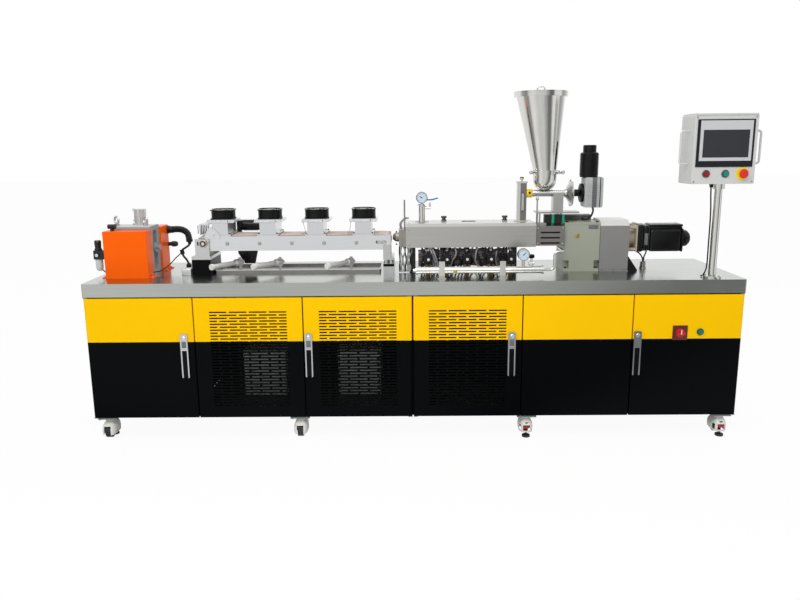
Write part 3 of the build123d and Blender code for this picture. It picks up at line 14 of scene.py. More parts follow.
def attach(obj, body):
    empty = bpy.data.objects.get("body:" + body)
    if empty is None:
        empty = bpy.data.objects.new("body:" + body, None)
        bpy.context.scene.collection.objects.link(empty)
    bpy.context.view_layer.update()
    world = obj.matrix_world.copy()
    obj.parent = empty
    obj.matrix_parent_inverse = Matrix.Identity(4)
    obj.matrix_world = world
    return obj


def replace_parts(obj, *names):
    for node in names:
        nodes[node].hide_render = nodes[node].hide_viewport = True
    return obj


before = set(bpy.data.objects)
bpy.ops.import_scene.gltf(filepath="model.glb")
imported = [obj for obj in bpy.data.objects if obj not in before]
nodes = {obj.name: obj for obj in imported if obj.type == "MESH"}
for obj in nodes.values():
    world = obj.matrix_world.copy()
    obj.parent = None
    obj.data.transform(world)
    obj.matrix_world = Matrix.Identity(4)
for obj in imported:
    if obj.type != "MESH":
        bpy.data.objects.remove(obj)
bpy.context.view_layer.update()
print(len(nodes), "solids in the frame")

# %% [markdown]
# A finish is a small network of shader nodes. This helper keeps such a network short to write: each
# method adds one node and gives back the socket that the next one needs.

# %% A short way to write node networks


class Network:
    """A node tree that is written by method calls."""

    def __init__(self, tree):
        self.tree = tree

    def node(self, kind, **settings):
        made = self.tree.nodes.new(kind)
        for key, value in settings.items():
            setattr(made, key, value)
        return made

    def put(self, value, socket):
        if isinstance(value, bpy.types.NodeSocket):
            self.tree.links.new(value, socket)
        else:
            socket.default_value = value

    def math(self, operation, *values):
        made = self.node("ShaderNodeMath", operation=operation)
        for value, socket in zip(values, made.inputs):
            self.put(value, socket)
        return made.outputs[0]

    def blend(self, share, a, b, kind="RGBA", way="MIX"):
        made = self.node("ShaderNodeMix", data_type=kind)
        if kind == "RGBA":
            made.blend_type = way
        picks = {"RGBA": (6, 7, 2), "FLOAT": (2, 3, 0)}[kind]
        self.put(share, made.inputs[0])
        self.put(a, made.inputs[picks[0]])
        self.put(b, made.inputs[picks[1]])
        return made.outputs[picks[2]]

    def noise(self, vector, scale, detail=3.0, roughness=0.5):
        made = self.node("ShaderNodeTexNoise")
        self.put(vector, made.inputs["Vector"])
        self.put(scale, made.inputs["Scale"])
        made.inputs["Detail"].default_value = detail
        made.inputs["Roughness"].default_value = roughness
        return made.outputs["Fac"]

    def stretch(self, vector, factors):
        made = self.node("ShaderNodeVectorMath", operation="MULTIPLY")
        self.put(vector, made.inputs[0])
        self.put(factors, made.inputs[1])
        return made.outputs[0]

    def ramp(self, value, low, high):
        made = self.node("ShaderNodeMapRange")
        self.put(value, made.inputs[0])
        made.inputs[1].default_value = low
        made.inputs[2].default_value = high
        return made.outputs[0]


def srgb(r, g, b):
    """A colour as a paint chart gives it, 0 to 255, turned to the linear values that nodes use."""
    parts = [c / 255 for c in (r, g, b)]
    return tuple(c / 12.92 if c <= 0.04045 else ((c + 0.055) / 1.055) ** 2.4 for c in parts) + (1,)


# %% [markdown]
# Three effects serve most finishes here: the faint orange peel of powder coat, the fine lines of
# brushed stainless sheet, and dust that settles on faces that look up. Each is a node group with
# named inputs, so one network serves many materials with different values.

# %% The shared effects as node groups


def group(name, inputs, outputs):
    """A node group with named sockets: the tree, its network, what enters it and what leaves it."""
    made = bpy.data.node_groups.new(name, "ShaderNodeTree")
    for label, kind, start in inputs:
        socket = made.interface.new_socket(label, in_out="INPUT", socket_type=kind)
        if start is not None:
            socket.default_value = start
    for label, kind in outputs:
        made.interface.new_socket(label, in_out="OUTPUT", socket_type=kind)
    net = Network(made)
    enter = net.node("NodeGroupInput")
    leave = net.node("NodeGroupOutput")
    return made, net, enter.outputs, leave.inputs


COLOUR, NUMBER, VECTOR = "NodeSocketColor", "NodeSocketFloat", "NodeSocketVector"

powder_coat, net, given, result = group(
    "powder_coat",
    [("Colour", COLOUR, (0.5, 0.5, 0.5, 1)), ("Roughness", NUMBER, 0.35), ("Vector", VECTOR, None),
     ("Mottle", NUMBER, 0.12), ("Peel Scale", NUMBER, 900.0)],
    [("Colour", COLOUR), ("Roughness", NUMBER), ("Height", NUMBER)])
wide = net.noise(given["Vector"], 2.2, 2.0)
fine = net.noise(given["Vector"], given["Peel Scale"], 2.0)
darker = net.blend(1.0, given["Colour"], (0.72, 0.72, 0.72, 1), way="MULTIPLY")
share = net.math("MULTIPLY", net.ramp(wide, 0.35, 0.75), given["Mottle"])
net.put(net.blend(share, given["Colour"], darker), result["Colour"])
net.put(net.math("ADD", given["Roughness"], net.math("MULTIPLY", net.math("SUBTRACT", wide, 0.5), 0.14)),
        result["Roughness"])
net.put(fine, result["Height"])

brushed_metal, net, given, result = group(
    "brushed_metal",
    [("Colour", COLOUR, (0.5, 0.5, 0.5, 1)), ("Roughness", NUMBER, 0.3), ("Vector", VECTOR, None),
     ("Grain", VECTOR, (4.0, 900.0, 900.0)), ("Contrast", NUMBER, 0.25)],
    [("Colour", COLOUR), ("Roughness", NUMBER), ("Height", NUMBER)])
lines = net.noise(net.stretch(given["Vector"], given["Grain"]), 1.0, 4.0, 0.6)
cloud = net.noise(given["Vector"], 5.0, 3.0)
darker = net.blend(1.0, given["Colour"], (0.6, 0.61, 0.63, 1), way="MULTIPLY")
share = net.math("MULTIPLY", net.ramp(lines, 0.3, 0.7), given["Contrast"])
net.put(net.blend(share, given["Colour"], darker), result["Colour"])
uneven = net.math("ADD", net.math("MULTIPLY", net.math("SUBTRACT", lines, 0.5), 0.22),
                  net.math("MULTIPLY", net.math("SUBTRACT", cloud, 0.5), 0.16))
net.put(net.math("ADD", given["Roughness"], uneven), result["Roughness"])
net.put(lines, result["Height"])

settled_dust, net, given, result = group(
    "settled_dust",
    [("Colour", COLOUR, (0.5, 0.5, 0.5, 1)), ("Dust", COLOUR, (0.42, 0.4, 0.37, 1)), ("Vector", VECTOR, None),
     ("Normal", VECTOR, None), ("Amount", NUMBER, 0.15)],
    [("Colour", COLOUR)])
parts = net.node("ShaderNodeSeparateXYZ")
net.put(given["Normal"], parts.inputs[0])
upward = net.ramp(parts.outputs[2], 0.3, 1.0)
patches = net.ramp(net.noise(given["Vector"], 14.0, 4.0, 0.65), 0.35, 0.8)
mask = net.math("MULTIPLY", net.math("MULTIPLY", upward, patches), given["Amount"])
net.put(net.blend(mask, given["Colour"], given["Dust"]), result["Colour"])
print("effects:", powder_coat.name, brushed_metal.name, settled_dust.name)

# %% [markdown]
# A material here is a Principled shader with one of the effects in front of it. The painted ones take
# powder coat, the sheet metal ones take brushed lines, and both take dust.

# %% Material makers


class Finish:
    """One material: its network, its shader and the object's own coordinates."""

    def __init__(self, name, metallic=0.0):
        self.material = bpy.data.materials.new(name)
        self.material.use_nodes = True
        self.net = Network(self.material.node_tree)
        self.shader = self.material.node_tree.nodes["Principled BSDF"]
        self.shader.inputs["Metallic"].default_value = metallic
        where = self.net.node("ShaderNodeTexCoord")
        self.place = where.outputs["Object"]
        self.normal = where.outputs["Normal"]
        split = self.net.node("ShaderNodeSeparateXYZ")
        self.net.put(self.place, split.inputs[0])
        self.x, self.y, self.z = split.outputs

    def effect(self, tree, values):
        made = self.net.node("ShaderNodeGroup")
        made.node_tree = tree
        for key, value in values.items():
            self.net.put(value, made.inputs[key])
        return made.outputs

    def bump(self, height, distance):
        made = self.net.node("ShaderNodeBump")
        made.inputs["Distance"].default_value = distance
        self.net.put(height, made.inputs["Height"])
        self.net.put(made.outputs[0], self.shader.inputs["Normal"])

    def above(self, axis, value):
        """1 where the coordinate is above a value, else 0."""
        return self.net.math("GREATER_THAN", axis, value)

    def below(self, axis, value):
        return self.net.math("LESS_THAN", axis, value)

    def both(self, mask, other):
        return self.net.math("MULTIPLY", mask, other)

    def between(self, axis, low, high):
        return self.both(self.above(axis, low), self.below(axis, high))

    def window(self, low_x, high_x, low_z, high_z):
        """1 inside an upright rectangle, seen from the front, else 0."""
        return self.both(self.between(self.x, low_x, high_x), self.between(self.z, low_z, high_z))

    def dusted(self, colour, amount):
        """The colour with dust on the faces that look up."""
        if amount <= 0:
            return colour
        return self.effect(settled_dust, {"Colour": colour, "Vector": self.place, "Normal": self.normal,
                                          "Amount": amount})["Colour"]

    def coated(self, tree, values, dust, relief):
        """Puts an effect, and dust over it, in front of the shader."""
        out = self.effect(tree, {**values, "Vector": self.place})
        self.net.put(self.dusted(out["Colour"], dust), self.shader.inputs["Base Color"])
        self.net.put(out["Roughness"], self.shader.inputs["Roughness"])
        self.bump(out["Height"], relief)
        return self


def painted(name, colour, roughness=0.35, mottle=0.12, dust=0.12, peel=900.0, relief=0.00004, shine=0.4,
            recolour=None):
    """Powder coat, moulded plastic or rubber: recolour may split the colour by place."""
    made = Finish(name)
    made.shader.inputs["Specular IOR Level"].default_value = shine
    colour = recolour(made, colour) if recolour else colour
    return made.coated(powder_coat, {"Colour": colour, "Roughness": roughness, "Mottle": mottle, "Peel Scale": peel},
                       dust, relief)


def steel(name, colour, roughness=0.3, grain=(4.0, 900.0, 900.0), contrast=0.25, dust=0.05,
          relief=0.00002, metallic=1.0, recolour=None):
    """Brushed or machined metal: the small grain number is the way that the lines run."""
    made = Finish(name, metallic=metallic)
    colour = recolour(made, colour) if recolour else colour
    return made.coated(brushed_metal, {"Colour": colour, "Roughness": roughness, "Grain": grain, "Contrast": contrast},
                       dust, relief)


def split_by(axis, value, other):
    """A recolour that gives another colour above a height or beyond a place along one axis."""
    def recolour(made, colour):
        return made.net.blend(made.above(getattr(made, axis), value), colour, other)
    return recolour


# %% [markdown]
# The cabinet's fronts are yellow over black, sprayed with a masked edge across the door. The swing
# handles are chromed and stand proud of the sheet, so the depth of a point tells which it is.

# %% Cabinet finishes
paint_edge = 0.478
black_paint = srgb(3, 6, 7)
yellow_paint = srgb(252, 198, 0)
front_sheet = -0.3146


def door_finish(name, with_handle):
    """Yellow above the masked edge, black below; what stands proud of the sheet is the chromed handle."""
    made = Finish(name)
    made.shader.inputs["Specular IOR Level"].default_value = 0.05
    colour = made.net.blend(made.above(made.z, paint_edge), black_paint, yellow_paint)
    out = made.effect(powder_coat, {"Colour": colour, "Roughness": 0.3, "Vector": made.place,
                                    "Mottle": 0.1, "Peel Scale": 700.0})
    shade, rough = made.dusted(out["Colour"], 0.06), out["Roughness"]
    if with_handle:
        proud = made.below(made.y, front_sheet)
        shade = made.net.blend(proud, shade, srgb(198, 200, 202))
        rough = made.net.blend(proud, rough, 0.16, kind="FLOAT")
        made.net.put(proud, made.shader.inputs["Metallic"])
    made.net.put(shade, made.shader.inputs["Base Color"])
    made.net.put(rough, made.shader.inputs["Roughness"])
    made.bump(out["Height"], 0.00003)
    return made


door_paint = door_finish("door_paint_yellow_over_black", True)
panel_paint = door_finish("panel_paint_yellow_over_black", False)
frame_paint = painted("cabinet_tube_black", srgb(14, 16, 18), 0.5, shine=0.1)
hinge_zinc = steel("hinge_zinc", srgb(168, 168, 164), 0.4)
lever_black = painted("lever_moulded_black", srgb(5, 5, 7), 0.35, peel=1500, shine=0.12)
tank_plastic = painted("tank_frosted_plastic", srgb(150, 154, 152), 0.45, mottle=0.3)
caster_nylon = painted("caster_white_nylon", srgb(232, 231, 226), 0.42, mottle=0.2, dust=0.1)
wheel_rubber = painted("wheel_grey_rubber", srgb(44, 45, 48), 0.6, peel=1200)
foot_finish = painted("foot_rubber_and_red_thumbwheel", srgb(38, 38, 40), 0.5,
                      recolour=lambda made, base: made.net.blend(
                          made.between(made.z, 0.0435, 0.0565), base, srgb(176, 42, 34)))
print("cabinet finishes made")

# %% [markdown]
# Sheet, bar and wire of stainless steel. The grain runs along the longer side of each piece, and the
# hopper is polished, so that it shows the room in soft streaks.

# %% Stainless finishes
bench_steel = steel("bench_brushed_stainless", srgb(190, 193, 187), 0.2, contrast=0.35, dust=0.08)
cover_steel = steel("cover_brushed_stainless", srgb(196, 195, 191), 0.32, (3.0, 700.0, 700.0), 0.3)
barrel_steel = steel("barrel_cover_brushed_stainless", srgb(196, 195, 191), 0.32, (3.0, 700.0, 700.0), 0.3,
                     recolour=split_by("z", 0.9872, srgb(92, 90, 92)))
conveyor_steel = steel("conveyor_satin_stainless", srgb(230, 231, 232), 0.34, (5.0, 600.0, 600.0), 0.16)
duct_steel = steel("duct_folded_stainless", srgb(226, 227, 228), 0.32, (600.0, 600.0, 5.0), 0.2)
polished_steel = steel("hopper_polished_stainless", srgb(222, 221, 216), 0.1, (22.0, 22.0, 1.5), 0.45)
# The tray's rim above z 0.764 is painted near white as a highlight; below it the steel keeps a darker colour.
tray_steel = steel("tray_stainless_with_painted_rim_highlight", srgb(158, 156, 154), 0.24, (4.0, 500.0, 500.0), 0.25,
                   recolour=split_by("z", 0.7640, srgb(244, 244, 242)))
roll_steel = steel("guide_roll_satin", srgb(232, 231, 229), 0.42, (50.0, 50.0, 50.0), 0.2, metallic=0.55)
turned_steel = steel("turned_steel", srgb(204, 204, 202), 0.28, (900.0, 40.0, 40.0), 0.25)
dark_steel = steel("die_heat_dark_steel", srgb(168, 164, 158), 0.42, (40.0, 40.0, 40.0), 0.45, dust=0.2)
wire_steel = steel("plated_wire", srgb(196, 196, 192), 0.22, (50.0, 50.0, 50.0), 0.2)
cast_aluminium = steel("cast_aluminium", srgb(212, 213, 211), 0.42, (160.0, 160.0, 160.0), 0.25, 0.1,
                       relief=0.0002)


def foot_colours(made, base):
    """Black blocks under the left plates; bare metal with a dark band at the right end."""
    black = srgb(26, 26, 28)
    left_foot = made.net.blend(made.above(made.z, 0.8255), black, base)
    right_foot = made.net.blend(made.between(made.z, 0.7860, 0.7990), srgb(206, 207, 206), black)
    return made.net.blend(made.above(made.x, -0.5), left_foot, right_foot)


foot_finish_light = steel("conveyor_foot_plate_on_black_block", srgb(214, 214, 212), 0.4, dust=0.1,
                          recolour=foot_colours)
print("stainless finishes made")

# %% [markdown]
# The machines on the bench: orange powder coat on the pelletizer, grey-green enamel on the gearbox,
# black enamel on the motor, and mouldings in several colours.

# %% Machine finishes
orange_paint = painted("pelletizer_orange", srgb(252, 98, 0), 0.3, mottle=0.05, dust=0.02, shine=0.1)
slab_paint = painted("cutter_slab_grey", srgb(152, 153, 153), 0.42, mottle=0.3, dust=0.05, peel=500,
                     recolour=split_by("z", 0.9845, srgb(208, 208, 206)))
gearbox_paint = painted("gearbox_grey_green", srgb(158, 163, 148), 0.4, mottle=0.14, dust=0.1)
# The bevel along the cover's top, above z 0.9685, is painted near white as a reflection.
coupling_paint = painted("coupling_cover_grey_with_painted_bevel_reflection", srgb(134, 133, 132), 0.36, mottle=0.14, dust=0.2,
                         recolour=split_by("z", 0.9685, srgb(214, 214, 210)))
adapter_paint = painted("adapter_beige", srgb(176, 166, 144), 0.42, mottle=0.3)
motor_black = painted("motor_black_enamel", srgb(5, 6, 7), 0.24, mottle=0.05, dust=0.03, shine=0.3)


def vent_colours(made, base):
    """The slots are cut into the front; what lies behind the sheet's face is in the dark."""
    behind = made.both(made.window(0.600, 0.720, 0.884, 0.962), made.above(made.y, -0.0765))
    return made.net.blend(behind, base, srgb(16, 15, 15))


vent_paint = painted("vent_box_grey", srgb(116, 113, 110), 0.5, mottle=0.2, recolour=vent_colours)
support_paint = painted("support_dark_enamel", srgb(60, 62, 62), 0.5)
belt_cloth = painted("belt_woven_brown", srgb(212, 192, 186), 0.75, mottle=0.4, dust=0.1, peel=1400,
                     relief=0.0003)
fan_plastic = painted("fan_moulded_black", srgb(8, 9, 10), 0.42, mottle=0.1, dust=0.04, shine=0.2)
box_paint = painted("operator_box_grey", srgb(206, 207, 205), 0.4, mottle=0.06, dust=0.03, shine=0.25)
regulator = painted("regulator_plastic", srgb(196, 204, 206), 0.25,
                    recolour=split_by("z", 0.8375, srgb(20, 21, 24)))


def trunking_colours(made, base):
    """A black connector with two green bands, then grey trunking with dark bands of painted shade where the slots are
    in its sides.
    """
    bands = made.net.math("ADD", made.between(made.x, 0.664, 0.676), made.between(made.x, 0.714, 0.7255))
    connector = made.net.blend(bands, base, srgb(0, 150, 110))
    side_slot_shade = made.net.math("ADD", made.between(made.z, 0.9905, 0.9945), made.between(made.z, 0.9995, 1.0035))
    rails = made.net.blend(side_slot_shade, srgb(128, 127, 124), srgb(52, 51, 50))
    return made.net.blend(made.above(made.x, 0.735), connector, rails)


trunk_grey = painted("trunking_grey_and_connector", srgb(16, 17, 18), 0.5, recolour=trunking_colours)


def drive_colours(made, base):
    """Silver on the worm gearbox, with a darker band across it and a dark strip of painted shade in its bracket's open
    slot; black on the neck before it and on the motor above it.
    """
    silver = made.both(made.above(made.x, 0.8262), made.below(made.z, 1.1948))
    cast = made.net.blend(made.between(made.x, 0.862, 0.884), base, srgb(112, 114, 116))
    bracket_slot_shade = made.net.blend(made.between(made.x, 0.8975, 0.902), cast, srgb(40, 41, 42))
    return made.net.blend(silver, srgb(8, 9, 10), bracket_slot_shade)


drive_finish = painted("feeder_drive_silver_and_black", srgb(186, 187, 187), 0.4, mottle=0.6, dust=0.0,
                       shine=0.25, recolour=drive_colours)
valve_finish = painted("valve_brass_and_black_coil", srgb(112, 96, 66), 0.4, mottle=0.2,
                       recolour=split_by("z", 0.800, srgb(10, 11, 12)))


def vent_post_colours(made, base):
    """The post's right half is in shade of its fold, painted as a darker tone, and holds the long slot: a dark rim of
    painted shade round a pale inside.
    """
    painted_fold_shade = made.net.blend(made.window(0.5250, 0.5600, 0.9900, 1.1690), base, srgb(142, 138, 131))
    painted_slot_rim_shade = made.net.blend(made.window(0.5290, 0.5450, 1.0350, 1.1220), painted_fold_shade, srgb(62, 60, 58))
    return made.net.blend(made.window(0.5315, 0.5425, 1.0380, 1.1200), painted_slot_rim_shade, srgb(214, 212, 208))


vent_post_steel = steel("vent_post_stainless", srgb(226, 225, 222), 0.3, (700.0, 700.0, 4.0), 0.2,
                        recolour=vent_post_colours)
gauge_case = steel("gauge_plated_case", srgb(178, 178, 174), 0.25, (60.0, 60.0, 60.0), 0.2)


def button_colours(made, base):
    """Red, green and the stop button's yellow plate, from left to right."""
    green = made.net.blend(made.above(made.x, 1.315), base, srgb(0, 142, 118))
    return made.net.blend(made.above(made.x, 1.39), green, srgb(248, 224, 36))


button_plastic = painted("button_lenses", srgb(150, 24, 30), 0.2, mottle=0.04, dust=0.0,
                         recolour=button_colours)
stop_red = painted("stop_mushroom_red", srgb(214, 52, 40), 0.25, mottle=0.05, dust=0.0)


def screen_colours(made, base):
    """A dark frame, the silver bezel inside it, and the dark glass inside that."""
    bezel = made.both(made.window(1.2368, 1.4602, 1.2728, 1.4432), made.below(made.y, -0.3291))
    rimmed = made.net.blend(bezel, base, srgb(196, 198, 200))
    return made.net.blend(made.window(1.2501, 1.4479, 1.2871, 1.4039), rimmed, srgb(52, 53, 58))


screen_glass = painted("screen_frame_bezel_and_glass", srgb(30, 32, 36), 0.26, mottle=0.03, dust=0.0,
                       shine=0.3, recolour=screen_colours)
plate_grey = painted("caster_plate_grey_zinc", srgb(132, 142, 140), 0.45, mottle=0.2)
switch_finish = painted("switch_plate_and_lamp", srgb(232, 206, 60), 0.35, dust=0.0,
                        recolour=split_by("x", 1.27, srgb(0, 122, 104)))
switch_knob = painted("switch_knob_red", srgb(196, 40, 34), 0.3, dust=0.0)
print("machine finishes made")

# %% Which solid takes which finish
finishes = [
    (bench_steel, "bench_top"), (frame_paint, "cabinet_frame"), (panel_paint, "cabinet_panels front_panels"),
    (door_paint, "door_1 door_3 door_4 door_6"), (hinge_zinc, "hinge_pins"),
    (lever_black, "handle_lever_1 handle_lever_3 handle_lever_4 handle_lever_6"),
    (switch_finish, "switch_plate_and_lamp"), (switch_knob, "main_switch_knob"),
    (caster_nylon, "caster_housings"), (wheel_rubber, "caster_wheels"), (foot_finish, "levelling_feet"),
    (tank_plastic, "water_tank"), (orange_paint, "pelletizer_covers"), (slab_paint, "cutter_housing"),
    (cast_aluminium, "press_cylinder"), (regulator, "air_fittings"),
    (turned_steel, "lifting_eyes belt_rollers feeder_barrel"), (conveyor_steel, "conveyor_frame"),
    (belt_cloth, "conveyor_belt"), (foot_finish_light, "conveyor_feet"),
    (motor_black, "belt_drive main_motor"), (duct_steel, "cooling_ducts"), (wire_steel, "fan_guards"),
    (fan_plastic, "fan_frames fan_rotors"), (tray_steel, "strand_tray"), (roll_steel, "strand_guides"),
    (barrel_steel, "barrel_cover"), (vent_paint, "vent_box"), (dark_steel, "die_head"),
    (support_paint, "barrel_supports"), (valve_finish, "solenoid_valves"), (gauge_case, "pressure_gauges"),
    (polished_steel, "water_manifold vacuum_port feed_hopper hopper_lid operator_post"),
    (vent_post_steel, "feed_vent_post"), (gearbox_paint, "gearbox"), (coupling_paint, "coupling_cover"),
    (adapter_paint, "motor_adapter"), (cover_steel, "feeder_stand"), (drive_finish, "feeder_drive"),
    (trunk_grey, "wiring_trunking"), (box_paint, "operator_box"), (screen_glass, "operator_screen"),
    (button_plastic, "push_buttons"), (stop_red, "emergency_stop"),
]
dressed = {name: finish for finish, names in finishes for name in names.split()}
for name, solid in nodes.items():
    solid.data.materials.clear()
    solid.data.materials.append(dressed[name].material)
print("undressed:", sorted(set(nodes) - set(dressed)))

# %% [markdown]
# Small pieces are built as meshes in place. One helper turns a mesh under construction into a piece
# that rides on a body: soft shading with crisp creases, normals out, object at the origin.

# %% Helpers for added pieces


def as_data(mesh, name):
    """Writes a mesh under construction into mesh data of its own."""
    data = bpy.data.meshes.new(name)
    mesh.to_mesh(data)
    mesh.free()
    return data


def placed(name, data):
    """A new object in the scene."""
    made = bpy.data.objects.new(name, data)
    bpy.context.scene.collection.objects.link(made)
    return made


def piece(name, mesh, finish, body="root", crease=35):
    """Turns the mesh into an object with a finish that rides on a body."""
    bmesh.ops.recalc_face_normals(mesh, faces=mesh.faces)
    data = as_data(mesh, name)
    data.shade_smooth()
    data.set_sharp_from_angle(angle=math.radians(crease))
    made = placed(name, data)
    data.materials.append(finish.material)
    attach(made, body)
    return made


def axes_for(direction):
    """A turn that takes +Z to the given direction."""
    return Vector(direction).to_track_quat("Z", "Y").to_matrix().to_4x4()


def lathe(mesh, profile, origin, direction=(0, 0, 1), steps=32):
    """Adds a closed turned shape: profile is a list of (radius, height) from axis to axis."""
    turn = Matrix.Translation(Vector(origin)) @ axes_for(direction)
    rings = []
    for radius, height in profile:
        if radius < 1e-7:
            rings.append([mesh.verts.new(turn @ Vector((0, 0, height)))])
            continue
        ring = []
        for i in range(steps):
            angle = 2 * math.pi * i / steps
            corner = Vector((radius * math.cos(angle), radius * math.sin(angle), height))
            ring.append(mesh.verts.new(turn @ corner))
        rings.append(ring)
    for low, high in zip(rings, rings[1:]):
        for i in range(steps):
            j = (i + 1) % steps
            corners = [low[i % len(low)], low[j % len(low)], high[j % len(high)], high[i % len(high)]]
            unique = list(dict.fromkeys(corners))
            if len(unique) > 2:
                mesh.faces.new(unique)
    return mesh


def slab(mesh, low, high, edge=0.001, segments=2):
    """Adds a block with rounded edges."""
    size = Vector(high) - Vector(low)
    middle = (Vector(high) + Vector(low)) / 2
    made = bmesh.ops.create_cube(mesh, size=1.0)
    for v in made["verts"]:
        v.co = Vector(v.co[i] * size[i] for i in range(3)) + middle
    edges = list({e for v in made["verts"] for e in v.link_edges})
    bmesh.ops.bevel(mesh, geom=edges, offset=edge, segments=segments, affect="EDGES", profile=0.5)
    return mesh


def turned(name, finish, profile, origin, direction, steps=32, body="root"):
    """A piece that is a single turned shape."""
    return piece(name, lathe(bmesh.new(), profile, origin, direction, steps), finish, body)


def block(name, finish, low, high, edge, body="root"):
    """A piece that is a single block with rounded edges."""
    return piece(name, slab(bmesh.new(), low, high, edge), finish, body)


# %% [markdown]
# Screws are everywhere and all alike, so each kind is modelled once and Geometry Nodes set a copy on
# every point of a mesh, turned to the way that the point faces. Converting gives a plain mesh.

# %% One tree that sets a fastener on every point
fastener_tree = bpy.data.node_groups.new("set_fasteners", "GeometryNodeTree")
fastener_tree.interface.new_socket("Geometry", in_out="INPUT", socket_type="NodeSocketGeometry")
head_in = fastener_tree.interface.new_socket("Head", in_out="INPUT", socket_type="NodeSocketObject")
size_in = fastener_tree.interface.new_socket("Size", in_out="INPUT", socket_type="NodeSocketFloat")
metal_in = fastener_tree.interface.new_socket("Metal", in_out="INPUT", socket_type="NodeSocketMaterial")
fastener_tree.interface.new_socket("Geometry", in_out="OUTPUT", socket_type="NodeSocketGeometry")
net = Network(fastener_tree)
enter, leave = net.node("NodeGroupInput"), net.node("NodeGroupOutput")
head = net.node("GeometryNodeObjectInfo")
facing = net.node("GeometryNodeInputNamedAttribute", data_type="FLOAT_VECTOR")
facing.inputs["Name"].default_value = "facing"
turn = net.node("FunctionNodeAlignRotationToVector", axis="Z")
place = net.node("GeometryNodeInstanceOnPoints")
real = net.node("GeometryNodeRealizeInstances")
coat = net.node("GeometryNodeSetMaterial")
for source, way_out, target, way_in in (
        (enter, "Head", head, "Object"), (facing, "Attribute", turn, "Vector"), (enter, "Geometry", place, "Points"),
        (head, "Geometry", place, "Instance"), (turn, "Rotation", place, "Rotation"), (enter, "Size", place, "Scale"),
        (place, "Instances", real, "Geometry"), (real, "Geometry", coat, "Geometry"),
        (enter, "Metal", coat, "Material"), (coat, "Geometry", leave, "Geometry")):
    net.put(source.outputs[way_out], target.inputs[way_in])


def pattern_head(name, profile, steps):
    """The mesh of one fastener of radius 1, used as the pattern and never shown itself."""
    mesh = lathe(bmesh.new(), profile, (0, 0, 0), steps=steps)
    bmesh.ops.recalc_face_normals(mesh, faces=mesh.faces)
    return bpy.data.objects.new(name, as_data(mesh, name))


socket_head = pattern_head("pattern_socket_head",
                           [(0, 0), (1, 0), (1, 0.8), (0.86, 0.95), (0.55, 0.95), (0.5, 0.45), (0, 0.45)], 18)
pan_head = pattern_head("pattern_pan_head",
                        [(0, 0), (1, 0), (0.97, 0.25), (0.75, 0.48), (0.34, 0.58), (0.3, 0.3), (0, 0.3)], 16)
hex_head = pattern_head("pattern_hex_head", [(0, 0), (0.98, 0), (0.98, 0.55), (0.85, 0.65), (0, 0.65)], 6)


def fasteners(name, head, size, places, finish):
    """places is a list of (point, direction); size is the head's radius in metres."""
    seeds = bpy.data.meshes.new(name + "_points")
    seeds.from_pydata([p for p, d in places], [], [])
    towards = seeds.attributes.new("facing", "FLOAT_VECTOR", "POINT")
    towards.data.foreach_set("vector", [c for p, d in places for c in d])
    maker = placed(name + "_maker", seeds)
    step = maker.modifiers.new("set_fasteners", "NODES")
    step.node_group = fastener_tree
    step[head_in.identifier] = head
    step[size_in.identifier] = size
    step[metal_in.identifier] = finish.material
    bpy.context.view_layer.update()
    graph = bpy.context.evaluated_depsgraph_get()
    data = bpy.data.meshes.new_from_object(maker.evaluated_get(graph))
    bpy.data.objects.remove(maker)
    data.shade_smooth()
    data.set_sharp_from_angle(angle=math.radians(30))
    data.name = name
    made = placed(name, data)
    if not data.materials:
        data.materials.append(finish.material)
    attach(made, "root")
    return made


zinc = steel("zinc_screws", srgb(188, 188, 184), 0.3, (80.0, 80.0, 80.0), 0.2)
black_screw = painted("blackened_screws", srgb(22, 23, 24), 0.35)
print("patterns:", socket_head.name, pan_head.name, hex_head.name)

# %% [markdown]
# The added pieces take their places from the frame. A node may hold several solids, such as four fans,
# so this helper finds the box of each one by walking the mesh from vertex to vertex.

# %% Where each solid stands


def centre(box):
    """The middle of a box that is given by its low and its high corner."""
    return (box[0] + box[1]) / 2


def islands(name):
    """Low and high corner of every separate solid in a node, from left to right."""
    mesh = nodes[name].data
    keys = [tuple(round(c, 5) for c in v.co) for v in mesh.vertices]
    leader = {key: key for key in keys}

    def find(key):
        while leader[key] != key:
            leader[key] = leader[leader[key]]
            key = leader[key]
        return key

    for face in mesh.polygons:
        first = find(keys[face.vertices[0]])
        for v in face.vertices[1:]:
            leader[find(keys[v])] = first
            first = find(first)
    groups = {}
    for key in leader:
        groups.setdefault(find(key), []).append(key)
    boxes = [(Vector([min(p[i] for p in g) for i in range(3)]), Vector([max(p[i] for p in g) for i in range(3)]))
             for g in groups.values()]
    return sorted(boxes, key=lambda box: (round(box[0].x, 3), box[0].y))


def whole(name):
    """Low and high corner of a node with all its solids."""
    boxes = islands(name)
    return (Vector([min(b[0][i] for b in boxes) for i in range(3)]),
            Vector([max(b[1][i] for b in boxes) for i in range(3)]))


FRONT, BACK, UP, DOWN = (0, -1, 0), (0, 1, 0), (0, 0, 1), (0, 0, -1)
LEFT, RIGHT = (-1, 0, 0), (1, 0, 0)
CORNERS = [(-1, -1), (-1, 1), (1, -1), (1, 1)]
deck = whole("bench_top")[1].z
line_y = 0.020  # the extruder, its feeder and its motor share one centre line
print("fans:", len(islands("fan_frames")), "valves:", len(islands("solenoid_valves")))

# %% [markdown]
# Hoses and cables are tubes swept along a smooth line through a few points. The line is a Catmull-Rom
# spline; a ribbed conduit gets its rings by letting the radius swell and shrink along the way.

# %% A swept tube


